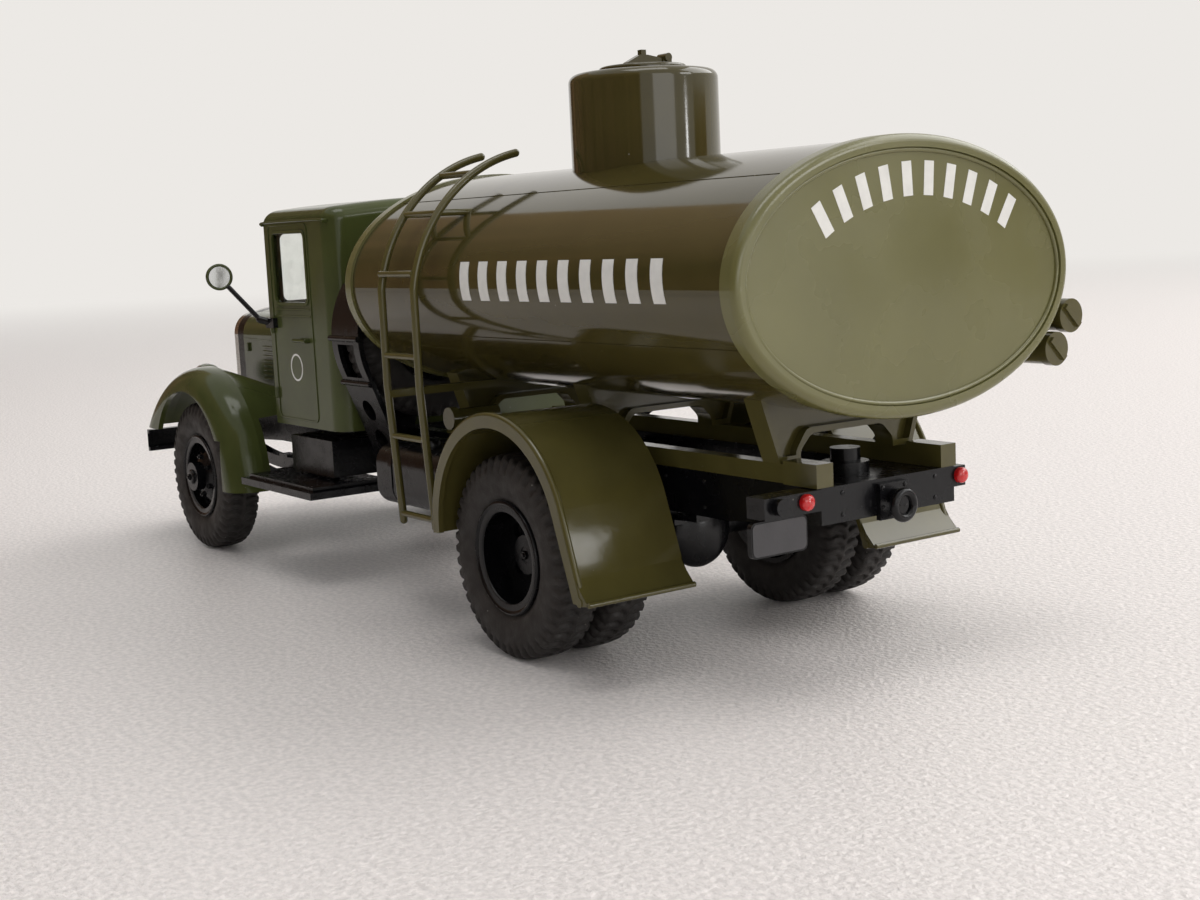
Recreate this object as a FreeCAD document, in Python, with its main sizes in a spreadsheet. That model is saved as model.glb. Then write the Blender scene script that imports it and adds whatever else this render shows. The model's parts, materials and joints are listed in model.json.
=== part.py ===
# Scale model of a bonneted tanker truck, 1:43, in millimetres.
# +X is forward, +Y is left, +Z is up. The origin is on the ground, half way between
# the tank's rear rim and the bumper's front face, in the truck's middle plane.
import FreeCAD, Part
import Sketcher
import math
import os
import re
from FreeCAD import Matrix, Placement, Rotation, Vector

doc = FreeCAD.newDocument("tanker_truck_model")
sheet = doc.addObject("Spreadsheet::Sheet", "Sizes")

# Driving dimensions. Places along the truck are measured forward from the rear axle,
# heights from the ground and places across from the middle plane.
SIZES = [
    ("wheelbase", 105.1, "rear axle to front axle"),
    ("rear_overhang", 43.4, "rear axle to the tank's rear rim"),
    ("front_overhang", 27.4, "front axle to the bumper's front face"),
    ("wheel_radius", 13.0, "ground to axle, and the tyre's outer radius"),
    ("tyre_width", 6.5, "widest part of a tyre"),
    ("tyre_bead", 7.3, "inner radius of a tyre, where it sits on its rim"),
    ("tyre_bulge", 0.7, "how far a tyre's side stands out from its bead"),
    ("tyre_side", 3.0, "from the tread in to a tyre's widest place"),
    ("tyre_shoulder", 0.8, "from the tread in to the edge of a tyre's side"),
    ("tyre_taper", 0.3, "how far that edge lies in from the widest place"),
    ("tyre_tread", 4.4, "width of a tyre's tread"),
    ("front_track_half", 23.6, "middle of a front tyre"),
    ("rear_track_half", 25.4, "middle of an outer rear tyre"),
    ("twin_spacing", 7.7, "between the middles of twin tyres"),
    ("rim_width", 5.6, "width of a rim's barrel"),
    ("rim_wall", 0.7, "wall of a rim's barrel"),
    ("disc_wall", 0.8, "plate of a wheel disc"),
    ("disc_dish", 1.9, "how far a front wheel's disc stands out from the tyre's middle"),
    ("disc_inset", 0.4, "how far a twin wheel's disc sits in from its rim's edge"),
    ("hand_hole_radius", 0.95, "hand holes in a wheel disc"),
    ("hand_hole_circle", 4.75, "radius of the circle of hand holes"),
    ("hand_hole_count", 6, "hand holes in a wheel disc"),
    ("hub_radius", 2.5, "wheel hub"),
    ("hub_proud", 1.6, "how far the hub stands out of the disc"),
    ("stub_radius", 1.0, "stub axles that carry the wheels"),
    ("running_fit", 0.05, "radial clearance between a hub and its stub axle"),
    ("drum_radius", 5.2, "rear brake drums"),
    ("drum_inner", 12.7, "inner face of a rear brake drum"),
    ("rail_rear", -37.2, "rear ends of the frame rails"),
    ("rail_front", 128.6, "front ends of the frame rails"),
    ("rail_top", 23.5, "top of the frame rails"),
    ("rail_depth", 5.6, "depth of the frame rails"),
    ("rail_rear_depth", 4.2, "depth of the rails at their rear ends"),
    ("rail_outer", 10.6, "outer faces of the rails"),
    ("rail_width", 2.4, "width of a rail's flanges"),
    ("rail_web", 0.8, "web of a rail"),
    ("rail_flange", 0.7, "flange of a rail"),
    ("rail_taper", -22.0, "where the rails start to taper towards their rear ends"),
    ("rail_nose_start", 98.0, "where the rails start to drop towards the bumper"),
    ("rail_nose_drop", 3.0, "how far the rails drop at the bumper"),
    ("member_width", 3.6, "length of a crossmember along the truck"),
    ("member_height", 3.2, "height of a crossmember"),
    ("member_low", 19.4, "bottom of the three crossmembers behind the engine"),
    ("member_rear", -20.0, "rear crossmember that takes a plinth screw"),
    ("member_middle", 18.0, "middle crossmember"),
    ("member_front", 52.0, "crossmember behind the cab"),
    ("member_nose", 124.0, "crossmember under the radiator that takes a plinth screw"),
    ("nose_member_low", 17.4, "bottom of that crossmember"),
    ("nose_member_height", 2.6, "height of that crossmember"),
    ("screw_radius", 1.1, "clearance holes for the plinth screws"),
    ("end_beam_width", 1.5, "thickness of the beam across the rails' rear ends"),
    ("tow_plate", 10.0, "length of the plate behind the rear beam"),
    ("tow_plate_height", 1.2, "thickness of that plate"),
    ("tow_boss_radius", 2.8, "stepped boss on the plate"),
    ("tow_boss_step", 1.3, "height of the boss's wide step"),
    ("tow_boss_top", 1.8, "radius of the boss's narrow step"),
    ("tow_boss_height", 2.9, "height of the boss above the rails"),
    ("tow_boss_place", -31.5, "middle of the boss"),
    ("hook_base_half", 2.2, "half width of the tow ring's base plate"),
    ("hook_base_wall", 0.7, "thickness of that plate"),
    ("hook_shank", 0.9, "radius of the tow ring's shank"),
    ("hook_reach", 2.2, "length of that shank"),
    ("hook_drop", 0.9, "how far the ring's middle hangs below the shank"),
    ("hook_ring", 1.5, "middle radius of the tow ring"),
    ("hook_wire", 0.5, "wire radius of the tow ring"),
    ("bumper_half", 26.0, "half the bumper's width"),
    ("bumper_low", 15.2, "lower edge of the bumper"),
    ("bumper_height", 4.0, "height of the bumper"),
    ("bumper_depth", 1.9, "depth of the bumper's channel"),
    ("bumper_wall", 0.7, "wall of the bumper's channel"),
    ("spring_half", 16.0, "half length of a leaf spring"),
    ("spring_leaf", 0.7, "thickness of a spring leaf"),
    ("spring_width", 2.0, "width of a leaf spring"),
    ("hanger_length", 1.2, "length of a spring hanger along the truck"),
    ("camber_front", 2.0, "how far a front spring's ends rise above its middle"),
    ("camber_rear", 0.6, "how far a rear spring's ends rise above its middle"),
    ("axle_tube", 2.0, "radius of the rear axle's tubes"),
    ("banjo_radius", 5.0, "radius of the rear axle's differential"),
    ("banjo_half", 3.0, "half length of the differential along the truck"),
    ("beam_drop", 1.6, "how far the front axle drops between its ends"),
    ("beam_height", 2.0, "height of the front axle's beam"),
    ("beam_depth", 1.6, "depth of the front axle's beam"),
    ("knuckle_inner", 17.0, "where the steering knuckles start"),
    ("knuckle_width", 2.2, "width of a steering knuckle"),
    ("pin_radius", 0.75, "radius of a steering knuckle's pin"),
    ("pin_half", 2.6, "half length of that pin"),
    ("shaft_radius", 0.9, "propeller shaft"),
    ("joint_radius", 1.3, "joints at the ends of the propeller shaft"),
    ("joint_length", 2.2, "length of those joints"),
    ("joint_room", 0.2, "room between those joints and what they drive"),
    ("engine_room", 8.4, "from the cab's nose to the engine block"),
    ("engine_front", 120.5, "front of the engine block"),
    ("engine_half", 6.6, "half width of the engine block"),
    ("engine_low", 16.4, "bottom of the engine block"),
    ("gearbox_rear", 64.0, "rear of the gearbox"),
    ("gearbox_half", 3.6, "half width of the gearbox"),
    ("gearbox_height", 6.0, "height of the gearbox"),
    ("cab_rear", 56.4, "outside of the cab's rear wall"),
    ("cab_side", 22.0, "outside of the cab's side walls"),
    ("cab_nose", 84.6, "middle of the cab's front"),
    ("cab_vee", 4.4, "how far the middle of the cab's front stands ahead of its sides"),
    ("cab_low", 23.8, "lower edge of the cab"),
    ("cab_crown", 59.5, "top of the roof in the middle"),
    ("roof_rise", 1.3, "how far the roof's middle rises above its sides"),
    ("cab_wall", 1.0, "thickness of the cab's walls"),
    ("cab_corner", 3.0, "radius of the cab's rear corners"),
    ("roof_round", 2.2, "rounding of the roof's edge"),
    ("window_low", 0.579, "lower edge of the windows, as a share of the cab's sides"),
    ("window_top", 0.895, "upper edge of the windows, as that share"),
    ("window_rear", 0.378, "rear edge of the side windows, as a share of the cab's length"),
    ("window_front", 0.891, "front edge of the side windows, as that share"),
    ("window_round", 1.0, "rounding of the windows' corners"),
    ("glass", 0.4, "thickness of the glazing"),
    ("screen_inner", 1.2, "half width of the post between the two windscreens"),
    ("screen_outer", 19.2, "outer edges of the windscreens"),
    ("rear_window_half", 7.5, "half width of the cab's rear window"),
    ("rear_window_low", 0.675, "lower edge of the cab's rear window, as a share of the cab's sides"),
    ("floor_height", 1.0, "thickness of the cab's floor"),
    ("seat_height", 8.0, "top of the seat above the floor"),
    ("seat_depth", 0.337, "depth of the seat, as a share of the cab's length"),
    ("seat_back", 0.078, "thickness of the seat's back, as that share"),
    ("seat_rise", 19.5, "top of the seat's back above the floor"),
    ("seat_half", 18.5, "half width of the seat"),
    ("dash_depth", 0.1135, "depth of the dashboard, as that share"),
    ("dash_drop", 1.1, "from the windows' lower edge down to the dashboard's top"),
    ("dash_height", 7.1, "height of the dashboard"),
    ("wheel_rim", 3.9, "middle radius of the steering wheel"),
    ("wheel_wire", 0.35, "section radius of the steering wheel"),
    ("driver_side", 10.0, "middle of the steering wheel"),
    ("wheel_drop", 1.7, "from the dashboard's top down to the steering wheel's middle"),
    ("wheel_stand", 0.163, "from the steering wheel's middle to the dashboard, as a share of the cab"),
    ("hood_front", 121.5, "front end of the hood"),
    ("hood_low", 26.4, "lower edge of the hood"),
    ("hood_half_rear", 12.8, "half width of the hood at the cab"),
    ("hood_half_front", 9.4, "half width of the hood at the radiator"),
    ("hood_top_rear", 41.0, "top of the hood at the cab"),
    ("hood_top_front", 40.3, "top of the hood at the radiator"),
    ("hood_round", 4.0, "radius of the hood's shoulders"),
    ("hood_crown", 0.8, "how far the hood's top is crowned"),
    ("radiator_depth", 2.6, "depth of the radiator"),
    ("radiator_low", 21.3, "bottom of the radiator"),
    ("radiator_foot_inner", 3.5, "inner faces of the radiator's feet"),
    ("radiator_foot_outer", 6.5, "outer faces of the radiator's feet"),
    ("grille_depth", 1.6, "depth of the grille's shell"),
    ("grille_frame", 1.3, "width of the grille's frame"),
    ("grille_bar", 0.6, "width of a grille bar"),
    ("grille_bars", 9, "bars in the grille"),
    ("fender_outer", 28.6, "outer edge of a front fender"),
    ("fender_inner", 9.8, "inner edge of a front fender"),
    ("fender_wall", 0.9, "wall of a front fender"),
    ("fender_round", 4.5, "rounding of a front fender's shoulder"),
    ("fender_top", 32.2, "top of a front fender"),
    ("fender_crown", 23.0, "where a front fender's top starts to fall towards the hood"),
    ("fender_fall", 5.4, "how far it has fallen at its inner edge"),
    ("fender_crest", 104.0, "where a front fender is highest"),
    ("fender_front", 127.5, "front edge of a front fender"),
    ("fender_front_low", 20.5, "lowest point of a front fender's front"),
    ("fender_arc", 19.0, "radius of a front fender behind its crest"),
    ("fender_back", 18.353, "from a front fender's crest back to where that arc ends"),
    ("fender_low", 12.0, "lowest point of a front fender"),
    ("fender_tail_inner", 21.6, "inner edge of a front fender below the cab"),
    ("fender_skirt", 6.0, "depth of the outer skirt that the wheel opening is cut into"),
    ("fender_opening", 15.2, "radius of the wheel opening in a front fender"),
    ("lamp_radius", 2.4, "headlamps"),
    ("lamp_length", 4.6, "length of a headlamp"),
    ("lamp_height", 28.6, "middle of a headlamp"),
    ("lamp_side", 15.2, "middle of a headlamp"),
    ("lamp_front", 127.0, "front of a headlamp"),
    ("lamp_glass", 0.6, "thickness of a headlamp's glass"),
    ("lamp_stalk", 0.8, "radius of a headlamp's post"),
    ("lamp_rim", 0.25, "rim of a headlamp around its glass"),
    ("step_rear", 56.5, "rear edge of a running board"),
    ("step_front", 82.8, "front edge of a running board"),
    ("step_inner", 13.2, "inner edge of a running board"),
    ("step_outer", 28.0, "outer edge of a running board"),
    ("step_low", 14.0, "underside of a running board"),
    ("step_height", 1.1, "thickness of a running board"),
    ("tread_height", 0.6, "thickness of the tread plate on a running board"),
    ("step_arm", 1.2, "width of a running board's arm"),
    ("arm_rear", 3.0, "from a running board's rear end to its rear arm"),
    ("arm_front", 5.6, "from its front end to its front arm"),
    ("tank_front", 44.8, "front end of the tank"),
    ("tank_half_width", 25.96, "half width of the tank's rims"),
    ("tank_half_height", 15.67, "half height of the tank's rims"),
    ("tank_middle", 46.33, "height of the tank's axis"),
    ("rim_proud", 0.35, "how far the rims stand out from the tank's skin"),
    ("rim_band", 2.4, "width of the rims"),
    ("rim_bead", 0.9, "rounding of the rims"),
    ("cap_recess", 0.5, "how deep the end plates sit in their rims"),
    ("cap_ring", 1.5, "width of a rim's bead around its end plate"),
    ("dome_place", 5.0, "middle of the dome"),
    ("dome_radius", 9.9, "radius of the dome"),
    ("dome_top", 73.3, "top of the dome"),
    ("dome_edge", 1.2, "rounding of the dome's edge"),
    ("hatch_radius", 5.8, "radius of the hatch lid"),
    ("hatch_height", 0.8, "thickness of the hatch lid"),
    ("hatch_bar", 1.0, "thickness of the bar over the hatch lid"),
    ("hatch_screw", 0.65, "height of the screw's square head above its bar"),
    ("hatch_peak", 1.45, "height of the bar over the middle of the lid"),
    ("hatch_reach", 3.0, "half length of the bar"),
    ("hatch_lug", 1.4, "width of the hinge lug at the bar's right end"),
    ("beam_outer", 10.6, "outer faces of the tank's long bearers"),
    ("bearer_width", 2.0, "width of a bearer"),
    ("bearer_height", 2.2, "height of a bearer"),
    ("bearer_rear", -38.6, "rear ends of the bearers"),
    ("bearer_front", 44.0, "front ends of the bearers"),
    ("block_length", 5.6, "length of the block at a bearer's rear end"),
    ("block_proud", 0.5, "how far that block stands out of its bearer"),
    ("saddle_rear", -30.5, "rear saddle"),
    ("saddle_middle", 4.0, "middle saddle"),
    ("saddle_front", 37.0, "front saddle"),
    ("saddle_web", 0.9, "web of a saddle"),
    ("saddle_flange", 3.0, "width of a saddle's flanges"),
    ("saddle_lip", 0.7, "thickness of a saddle's flanges"),
    ("saddle_top_half", 15.0, "half width of a saddle at the tank"),
    ("saddle_foot_half", 10.6, "half width of a saddle at its feet"),
    ("saddle_leg", 3.2, "width of a saddle's foot"),
    ("saddle_arch", 3.0, "height of the arch between a saddle's feet"),
    ("saddle_round", 1.5, "rounding of the arch's corners"),
    ("guard_inner", 14.8, "inner edge of a rear mudguard"),
    ("guard_outer", 30.56, "outer edge of a rear mudguard"),
    ("guard_sheet", 0.7, "thickness of a rear mudguard"),
    ("guard_radius", 15.3, "outer radius of a rear mudguard's arch"),
    ("guard_place", -1.3, "middle of that arch"),
    ("guard_height", 15.9, "height of that arch's middle"),
    ("guard_front", -4.0, "angle of the arch's front end"),
    ("guard_rear", 160.0, "angle where the arch turns into the flap"),
    ("guard_low", 10.5, "lowest point of a mudguard's flap"),
    ("guard_lip", 1.5, "depth of a mudguard's outer lip"),
    ("guard_curl", 0.55, "radius of the curl on the flap's edge"),
    ("ladder_front", 28.0, "front post of the ladder"),
    ("ladder_rear", 19.0, "rear post of the ladder"),
    ("ladder_radius", 0.55, "radius of the ladder's posts"),
    ("rung_radius", 0.45, "radius of the ladder's rungs"),
    ("ladder_stand", 2.6, "gap between the tank's rims and the middle of a ladder post"),
    ("ladder_foot", 14.4, "lower ends of the posts"),
    ("ladder_lean", 1.2, "how far the posts' feet lie in from their straight runs"),
    ("ladder_knee", 13.0, "from the tank's axis down to where the posts bend in"),
    ("ladder_over", 0.9, "how much further the posts stand off above the tank"),
    ("ladder_tip", 66.0, "angle where the posts end over the tank"),
    ("rung_low", 15.4, "lowest rung"),
    ("rung_second", 26.3, "second rung"),
    ("rung_third", 37.4, "third rung"),
    ("rung_fourth", 48.4, "fourth rung"),
    ("stay_height", 32.6, "height of the stay to the bearer"),
    ("stay_half", 0.8, "half width of that stay"),
    ("stay_wall", 1.0, "thickness of that stay"),
    ("fuel_rear", 22.0, "rear of the fuel tank"),
    ("fuel_length", 19.0, "length of the fuel tank"),
    ("fuel_inner", 11.8, "inner face of the fuel tank"),
    ("fuel_outer", 24.4, "outer face of the fuel tank"),
    ("fuel_low", 14.8, "bottom of the fuel tank"),
    ("fuel_top", 23.6, "top of the fuel tank"),
    ("fuel_round", 2.8, "rounding of the fuel tank"),
    ("strap_width", 1.6, "width of an arm of the fuel tank"),
    ("strap_height", 2.0, "height of such an arm"),
    ("box_rear", 61.5, "rear of the battery box"),
    ("box_length", 15.0, "length of the battery box"),
    ("box_outer", 21.4, "outer face of the battery box"),
    ("box_low", 16.2, "bottom of the battery box"),
    ("box_top", 22.0, "top of the battery box"),
    ("spare_place", 50.4, "middle of the spare wheel"),
    ("spare_side", 9.4, "middle of the spare wheel across the truck"),
    ("spare_room", 3.0, "from the crossmember below up to the spare tyre"),
    ("carrier_wall", 0.8, "plate of the spare wheel's carrier"),
    ("carrier_gap", 0.3, "gap between the spare tyre and its carrier"),
    ("carrier_top", 35.0, "angle where the carrier's band starts beside the tyre"),
    ("carrier_lean", 21.4, "lean of the band's straight run, from upright"),
    ("carrier_foot", 19.0, "underside of the band's foot at the rail"),
    ("carrier_arm", 3.0, "half width of the cheek at the spare wheel's middle"),
    ("carrier_pin", 0.45, "radius of the band's two hinge pins"),
    ("carrier_low_pin", 1.8, "from the end of the band's bend down to its lower pin"),
    ("carrier_slot", 5.2, "width of the slot in the band"),
    ("carrier_hole", 1.7, "radius of the round holes in the band"),
    ("carrier_first", 6.2, "from the end of the band's bend to its first hole"),
    ("carrier_pitch", 5.0, "between the band's holes"),
    ("hose_radius", 2.05, "outside of the hose tubes"),
    ("hose_rear", -43.2, "rear ends of the hose tubes"),
    ("hose_front", 33.0, "front ends of the hose tubes"),
    ("hose_upper_side", 27.0, "middle of the upper hose tube"),
    ("hose_upper_height", 40.2, "height of the upper hose tube"),
    ("hose_lower_side", 24.3, "middle of the lower hose tube"),
    ("hose_lower_height", 36.4, "height of the lower hose tube"),
    ("hose_cap", 1.6, "length of a hose tube's cap"),
    ("hose_wing", 1.7, "half length of the wing on a hose tube's cap"),
    ("hose_wing_wall", 0.7, "width of that wing"),
    ("hose_lid", 0.15, "how far a cap stands out of its tube"),
    ("hose_step", 0.4, "how far the wing stands out behind a cap"),
    ("bracket_wall", 1.4, "thickness of a hose bracket"),
    ("bracket_rear", -26.0, "rear hose bracket"),
    ("bracket_front", 24.0, "front hose bracket"),
    ("tail_radius", 0.95, "tail lamps"),
    ("tail_proud", 0.9, "how far a tail lamp stands out"),
    ("tail_side", 12.9, "middle of a tail lamp"),
    ("tail_side_right", 11.6, "middle of the right tail lamp"),
    ("tail_height", 22.3, "height of a tail lamp"),
    ("tail_plate_low", 21.0, "lower edge of the lamp brackets"),
    ("tail_plate_outer", 18.9, "outer end of the left lamp bracket"),
    ("plate_inner", 12.8, "inner edge of the number plate"),
    ("plate_outer", 20.9, "outer edge of the number plate"),
    ("plate_low", 17.0, "lower edge of the number plate"),
    ("plate_wall", 0.7, "thickness of the number plate"),
    ("plate_round", 0.7, "rounding of its corners"),
    ("shade_side", 16.9, "middle of the dark lamp on the left"),
    ("mirror_radius", 2.1, "radius of a mirror"),
    ("mirror_ahead", 5.3, "from the cab's front post forward to a mirror's middle"),
    ("mirror_side", 28.1, "middle of a mirror across the truck"),
    ("mirror_height", 48.1, "height of a mirror's middle"),
    ("mirror_arm", 0.4, "radius of a mirror's arm"),
    ("mirror_back", 0.8, "from the cab's front post back to the foot of a mirror's arm"),
    ("mirror_lug", 3.0, "length of the lug at that foot"),
    ("mirror_wall", 0.9, "thickness of a mirror's head"),
    ("mirror_foot_height", 40.3, "height of the foot of a mirror's arm"),
    ("seat_gap", 0.1, "clearance between pieces that are seated on each other"),
    ("valve_radius", 1.3, "outlet valve under the tank"),
    ("valve_place", 31.0, "place of the outlet valve"),
    ("valve_length", 8.0, "length of the outlet pipe"),
    ("valve_cap", 1.2, "length of its cap"),
    ("valve_rise", 1.6, "from the bearers up to the pipe's middle"),
]

# Places and sizes that follow from the driving dimensions.
DERIVED = {
    "rear_axle": "(rear_overhang - front_overhang - wheelbase) / 2",
    "front_axle": "rear_axle + wheelbase",
    "rail_low": "rail_top - rail_depth",
    "cab_pillar": "cab_nose - cab_vee",
    "cab_eaves": "cab_crown - roof_rise",
    "engine_rear": "cab_nose + engine_room",
    "dash_top": "cab_low + window_low * (cab_eaves - cab_low) - dash_drop",
    "dash_low": "dash_top - dash_height",
    "wheel_height": "dash_top - wheel_drop",
    "cab_length": "cab_nose - cab_rear",
    "spare_height": "member_low + member_height + spare_room + wheel_radius",
    "rail_inner": "rail_outer - rail_width",
    "bearer_top": "rail_top + bearer_height",
    "spring_side": "rail_outer - rail_width / 2",
    "rear_twin_inner": "rear_track_half - twin_spacing",
    "spring_stack": "3 * spring_leaf",
    "axle_seat": "wheel_radius + axle_tube",
    "front_spring_seat": "wheel_radius + beam_height / 2 - beam_drop",
    "nose_low": "rail_top - rail_nose_drop - rail_rear_depth",
    "nose_fall": "(rail_low - nose_low) / (rail_front - rail_nose_start)",
    "nose_hanger_top": "rail_low - nose_fall * (wheelbase + spring_half - rail_nose_start) - seat_gap",
}
NAMES = {alias for alias, number, meaning in SIZES}
parts = {}


def fill_sheet():
    """Write every driving dimension, its value and its meaning into the sheet."""
    for row, (alias, number, meaning) in enumerate(SIZES, start=1):
        sheet.set(f"A{row}", alias)
        sheet.set(f"B{row}", str(number))
        sheet.set(f"C{row}", meaning)
        sheet.setAlias(f"B{row}", alias)
    doc.recompute()


def bind(text):
    """Turn plain names of sizes and places into an expression over the sheet."""
    def word(match):
        name = match.group(0)
        if name in DERIVED:
            return f"({bind(DERIVED[name])})"
        return f"Sizes.{name}" if name in NAMES else name
    return re.sub(r"[a-z][a-z_]*", word, str(text))


def val(text):
    """The number that an expression gives now."""
    return float(sheet.evalExpression(bind(text)))


def along(text):
    """A place along the truck, from its distance forward of the rear axle."""
    return f"rear_axle + ({text})"


def box(name, x, y, z):
    """A box between its low and high faces along each axis."""
    solid = doc.addObject("Part::Box", name)
    for side, place, (low, high) in (("Length", "x", x), ("Width", "y", y), ("Height", "z", z)):
        solid.setExpression(side, bind(f"({high}) - ({low})"))
        solid.setExpression(f".Placement.Base.{place}", bind(low))
    return solid


TURNS = {"x": Rotation(Vector(0, 1, 0), 90), "y": Rotation(Vector(1, 0, 0), -90), "z": Rotation()}


def rod(name, axis, radius, length, start):
    """A cylinder that runs along an axis from its start point."""
    solid = doc.addObject("Part::Cylinder", name)
    solid.Placement = Placement(Vector(), TURNS[axis])
    solid.setExpression("Radius", bind(radius))
    solid.setExpression("Height", bind(length))
    for place, value in zip("xyz", start):
        solid.setExpression(f".Placement.Base.{place}", bind(value))
    return solid


def fuse(name, pieces):
    """Pieces joined into one shape."""
    whole = doc.addObject("Part::MultiFuse", name)
    whole.Shapes = pieces
    return whole


def cut(name, base, tool):
    """A piece with another taken out of it."""
    whole = doc.addObject("Part::Cut", name)
    whole.Base = base
    whole.Tool = tool
    return whole


def mirrored(name, source):
    """The same piece on the truck's other side."""
    copy = doc.addObject("Part::Mirroring", name)
    copy.Source = source
    copy.Base = Vector(0, 0, 0)
    copy.Normal = Vector(0, 1, 0)
    return copy


def feature(name, shape):
    """A piece whose shape is worked out here from the sheet."""
    piece = doc.addObject("Part::Feature", name)
    piece.Shape = shape
    return piece


def keep(label, piece):
    """Name a finished sub-part of the truck."""
    piece.Label = label
    parts[label] = piece
    return piece


def keep_pair(name, piece):
    """Keep a left piece and its mirror image on the right."""
    keep(f"{name}_left", piece)
    keep(f"{name}_right", mirrored(f"{name}_twin", piece))


def keep_couple(name, piece):
    """Keep a piece and its mirror image as one sub-part of two solids."""
    keep(name, fuse(f"{name}_couple", [piece, mirrored(f"{name}_twin", piece)]))


def both_sides(shape):
    """A shape and its mirror image on the truck's other side."""
    return Part.makeCompound([shape, shape.mirror(Vector(), Vector(0, 1, 0))])


def new_body(name):
    return doc.addObject("PartDesign::Body", name)


def plane_of(body, role):
    """One of a body's own origin planes."""
    return next(item for item in body.Origin.OriginFeatures if item.Role == role)


def bent_edge(start, end, radius):
    """An arc from start to end, counter-clockwise as sketches want it; a positive radius bulges left."""
    chord = end - start
    half = chord.Length / 2
    left = Vector(-chord.y, chord.x, 0).normalize()
    depth = math.sqrt(max(0, radius * radius - half * half))
    middle = (start + end) * 0.5 - left * math.copysign(depth, radius)
    first, last = (end, start) if radius > 0 else (start, end)
    angles = [math.atan2(spot.y - middle.y, spot.x - middle.x) for spot in (first, last)]
    return Part.ArcOfCircle(Part.Circle(middle, Vector(0, 0, 1), abs(radius)), *angles)


def outline(body, role, points, offset="0"):
    """A closed sketch through points. A third value makes the next edge an arc of that radius."""
    sketch = body.newObject("Sketcher::SketchObject", f"{body.Name}_outline")
    sketch.AttachmentSupport = (plane_of(body, role), [""])
    sketch.MapMode = "FlatFace"
    sketch.setExpression(".AttachmentOffset.Base.z", bind(offset))
    spots = [Vector(val(point[0]), val(point[1]), 0) for point in points]
    for index, point in enumerate(points):
        start, end = spots[index], spots[(index + 1) % len(spots)]
        if len(point) == 2:
            sketch.addGeometry(Part.LineSegment(start, end), False)
            continue
        sketch.addGeometry(bent_edge(start, end, val(point[2])), False)
    rules, texts = [], []
    for index, point in enumerate(points):
        corner_rules(sketch, index, len(points), point, rules, texts)
    places = sketch.addConstraint(rules)
    for place, text in zip(places, texts):
        if text:
            sketch.setExpression(f"Constraints[{place}]", text)
    return sketch


def first_end(sketch, index, start):
    """Which end of a sketched edge is at its start: an arc may have been turned round."""
    edge = sketch.Geometry[index]
    return 1 if edge.StartPoint.distanceToPoint(start) < edge.EndPoint.distanceToPoint(start) else 2


def corner_rules(sketch, index, count, point, rules, texts):
    """Hold one corner of an outline at its named place, joined to the edge before."""
    start = Vector(val(point[0]), val(point[1]), 0)
    here = first_end(sketch, index, start)
    before = (index - 1) % count
    there = first_end(sketch, before, start)
    rules.append(Sketcher.Constraint("Coincident", before, there, index, here))
    texts.append("")
    for kind, text in (("DistanceX", point[0]), ("DistanceY", point[1])):
        rules.append(Sketcher.Constraint(kind, -1, 1, index, here, val(text)))
        texts.append(bind(text))
    if len(point) == 3:
        rules.append(Sketcher.Constraint("Radius", index, abs(val(point[2]))))
        texts.append(bind(f"abs({point[2]})"))


def pad(body, role, points, low, high):
    """Material between two planes, in the outline given."""
    offset = f"-({high})" if role == "XZ_Plane" else low
    feature_pad = body.newObject("PartDesign::Pad", f"{body.Name}_pad")
    feature_pad.Profile = outline(body, role, points, offset)
    feature_pad.setExpression("Length", bind(f"({high}) - ({low})"))
    return feature_pad


def pocket(body, role, points, low, high):
    """A cut between two planes, in the outline given."""
    offset = f"-({low})" if role == "XZ_Plane" else high
    feature_cut = body.newObject("PartDesign::Pocket", f"{body.Name}_pocket")
    feature_cut.Profile = outline(body, role, points, offset)
    feature_cut.setExpression("Length", bind(f"({high}) - ({low})"))
    return feature_cut


def turned(body, points, axis="H_Axis", role="YZ_Plane"):
    """A solid of revolution about an axis of its outline's sketch."""
    sketch = outline(body, role, points)
    turn = body.newObject("PartDesign::Revolution", f"{body.Name}_turn")
    turn.Profile = sketch
    turn.ReferenceAxis = (sketch, [axis])
    turn.Angle = 360
    return turn


def place(piece, x, y, z):
    """Put a body's own origin at a named place."""
    for axis, value in zip("xyz", (x, y, z)):
        piece.setExpression(f".Placement.Base.{axis}", bind(value))


def rectangle(x, y):
    """The corners between two pairs of limits."""
    return [(x[0], y[0]), (x[1], y[0]), (x[1], y[1]), (x[0], y[1])]


# Wheels: each turned about the Y axis at its body's own origin.
def tyre_body(name):
    """A tyre: sides that bulge from the beads, sloped shoulders and a flat tread."""
    bead = "(tyre_width / 2 - tyre_bulge)"
    half = "tyre_width / 2"
    shoulder = "(tyre_width / 2 - tyre_taper)"
    tread = "(tyre_tread / 2)"
    widest, edge = "wheel_radius - tyre_side", "wheel_radius - tyre_shoulder"
    body = new_body(name)
    turned(body, [
        (f"-{bead}", "tyre_bead"),
        (bead, "tyre_bead"),
        (half, widest),
        (shoulder, edge),
        (tread, "wheel_radius"),
        (f"-{tread}", "wheel_radius"),
        (f"-{shoulder}", edge),
        (f"-{half}", widest),
    ])
    return body


def build_tyres():
    front = tyre_body("front_tyre")
    place(front, "front_axle", "front_track_half", "wheel_radius")
    keep_pair("tyre_front", front)
    outer = tyre_body("rear_outer_tyre")
    place(outer, "rear_axle", "rear_track_half", "wheel_radius")
    inner = tyre_body("rear_inner_tyre")
    place(inner, "rear_axle", "rear_twin_inner", "wheel_radius")
    keep_pair("tyres_rear", fuse("rear_tyres", [outer, inner]))


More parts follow.
